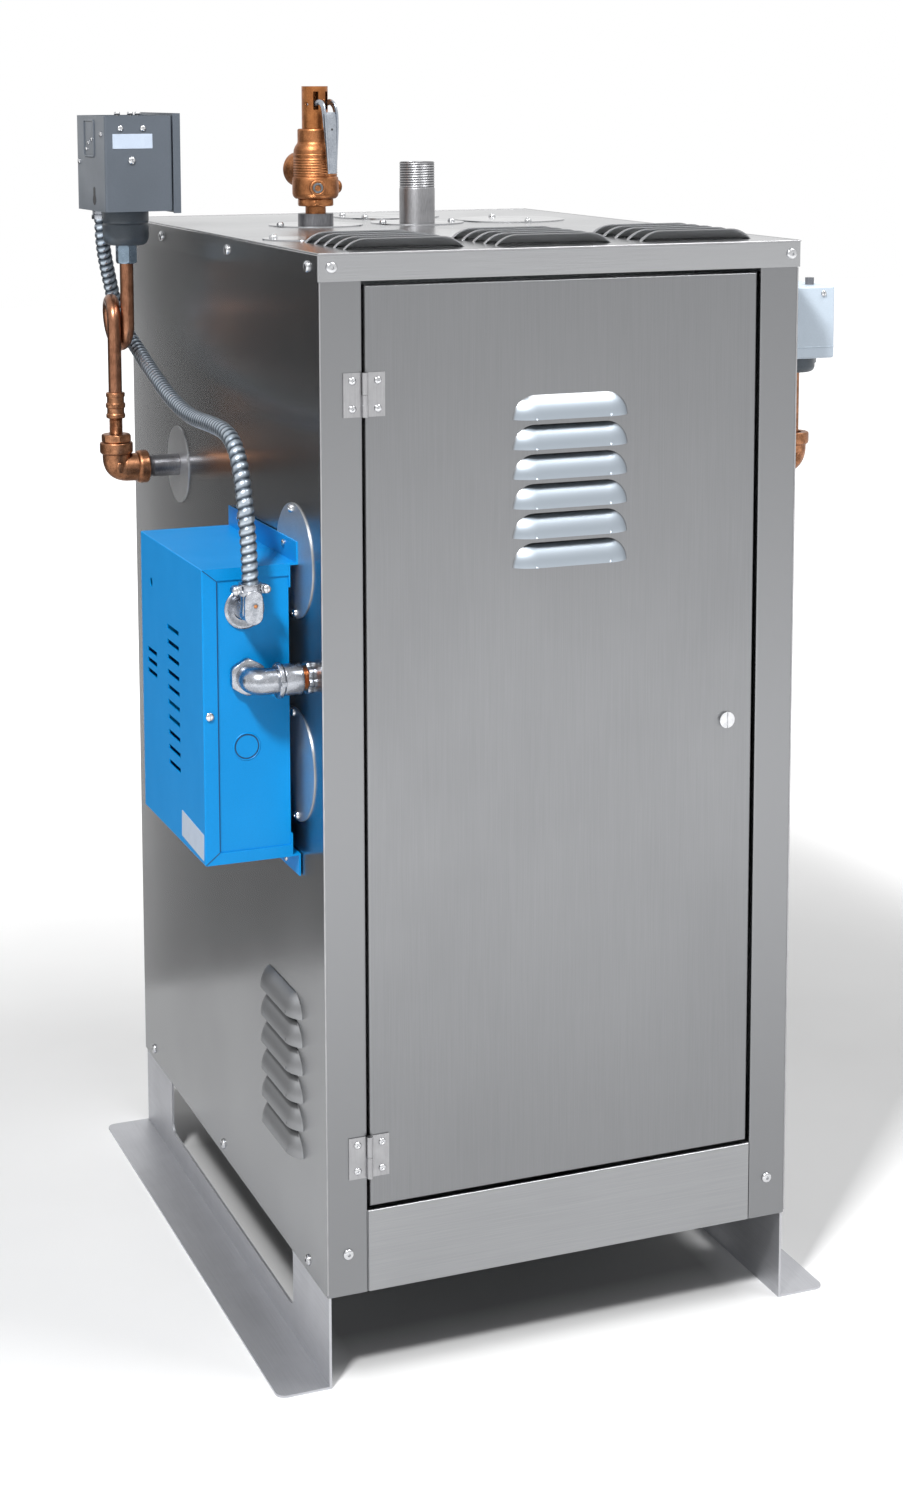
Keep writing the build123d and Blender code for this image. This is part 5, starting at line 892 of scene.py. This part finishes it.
# Camera at the photograph's view; the picture is 903 by 1500
camera = bpy.data.cameras.new("camera")
camera.sensor_fit = "AUTO"
camera.sensor_width = 36.0
PHOTO_HEIGHT = 1500.0
FOCAL_PIXELS = 2485.8
camera.lens = FOCAL_PIXELS / PHOTO_HEIGHT * camera.sensor_width
camera.shift_y = (400.0 - 750.0) / PHOTO_HEIGHT
camera_object = in_scene("camera", camera)
camera_object.location = (-1.1916, -3.0481, 1.5326)
CAMERA_YAW, CAMERA_PITCH, CAMERA_ROLL = (math.radians(a) for a in (21.703, -7.229, 0.117))
camera_object.rotation_mode = "XYZ"
camera_object.rotation_euler = (math.pi / 2 + CAMERA_PITCH, CAMERA_ROLL, -CAMERA_YAW)
bpy.context.scene.camera = camera_object
bpy.context.scene.view_settings.view_transform = "Standard"

def stage_sheet(name, corners, material, glow):
    """Flat part of the stage with four corners, which gives off white light as strong as the glow."""
    mesh = bpy.data.meshes.new(name)
    mesh.from_pydata(corners, [], [(0, 1, 2, 3)])
    mesh.materials.append(material)
    shader_of(material).inputs["Emission Color"].default_value = (1, 1, 1, 1)
    material.node_tree.links.new(glow, shader_of(material).inputs["Emission Strength"])
    made = in_scene(name, mesh)
    return made


# Stage: a pale floor. It turns white away from the boiler and keeps the shadow near it
floor_material = finish("floor_white_vinyl", "#f1f1f1", "#eeeeee", 0.7, 400.0, 0.0, 400.0, Metallic=0.0)
floor_tree = floor_material.node_tree
# Under the cabinet the floor is painted darker: a painted shadow, so that the fork windows look into shade
under = 1.0
for axis, outer, inner in (("X", 0.31, 0.25), ("X", -0.31, -0.25), ("Y", 0.43, 0.3), ("Y", -0.43, -0.3)):
    within = share_along(floor_tree, "Object", axis, outer, inner)
    under = node(floor_tree, "ShaderNodeMath", 0, {0: under, 1: within}, operation="MULTIPLY")
over(floor_material, under, "#8c8c8c", 0.7)
# Far off the floor glows to the background's white, where the eye or a reflection sees it
NEAR_GLOW, FAR_GLOW, GLOW = 0.8, 3.2, 0.9
away = node(floor_tree, "ShaderNodeTexCoord", "Object")
away = node(floor_tree, "ShaderNodeVectorMath", "Value", {0: away}, operation="LENGTH")
span = {"Value": away, "From Min": NEAR_GLOW, "From Max": FAR_GLOW, "To Min": 0.0, "To Max": GLOW}
away = node(floor_tree, "ShaderNodeMapRange", "Result", span, interpolation_type="SMOOTHSTEP")
glow = node(floor_tree, "ShaderNodeMath", 0, {0: straight_ray(floor_tree), 1: away}, operation="MULTIPLY")
stage_sheet("floor", [(-14, -14, 0), (14, -14, 0), (14, 14, 0), (-14, 14, 0)], floor_material, glow)


def reflection_card(name, left_end, right_end, height, low, high):
    """Upright card that only reflections see, as a studio sets one beside bright metal. Its own light
    goes from the low strength at the floor to the high one at its top."""
    corners = [(*left_end, 0), (*right_end, 0), (*right_end, height), (*left_end, height)]
    material = finish(name, "#202020", "#1c1c1c", 0.9, 3.0, 0.0, 300.0, Metallic=0.0, Specular_IOR_Level=0.0)
    light = share_along(material.node_tree, "Object", "Z", 0.0, height, low, high)
    card = stage_sheet(name, corners, material, light)
    card.visible_camera = card.visible_diffuse = card.visible_shadow = card.visible_transmission = False


reflection_card("back_left_card", (-4.5, 0.95), (-0.45, 0.95), 1.32, 0.2, 0.01)

# World: soft even light, and white wherever the eye or a reflection sees it
world = bpy.data.worlds.new("studio")
bpy.context.scene.world = world
world.use_nodes = True
world_tree = world.node_tree
world_tree.nodes.clear()
soft = node(world_tree, "ShaderNodeBackground", 0, {"Color": (1, 1, 1, 1), "Strength": 0.24})
white = node(world_tree, "ShaderNodeBackground", 0, {"Color": (1, 1, 1, 1), "Strength": 1.0})
both = node(world_tree, "ShaderNodeMixShader", 0, {0: straight_ray(world_tree), 1: soft, 2: white})
output = world_tree.nodes.new("ShaderNodeOutputWorld")
world_tree.links.new(both, output.inputs["Surface"])


def lamp(name, place, target, size, watts):
    """Square area lamp that faces a target."""
    data = bpy.data.lights.new(name, "AREA")
    data.size = size
    data.energy = watts
    made = in_scene(name, data)
    made.location = place
    made.rotation_euler = (Vector(place) - Vector(target)).to_track_quat("Z", "Y").to_euler()


lamp("key", (-2.5, -2.9, 5.0), (0, 0, 0.8), 0.6, 340)
lamp("fill", (2.0, -1.6, 4.9), (0, 0, 0.8), 1.8, 130)
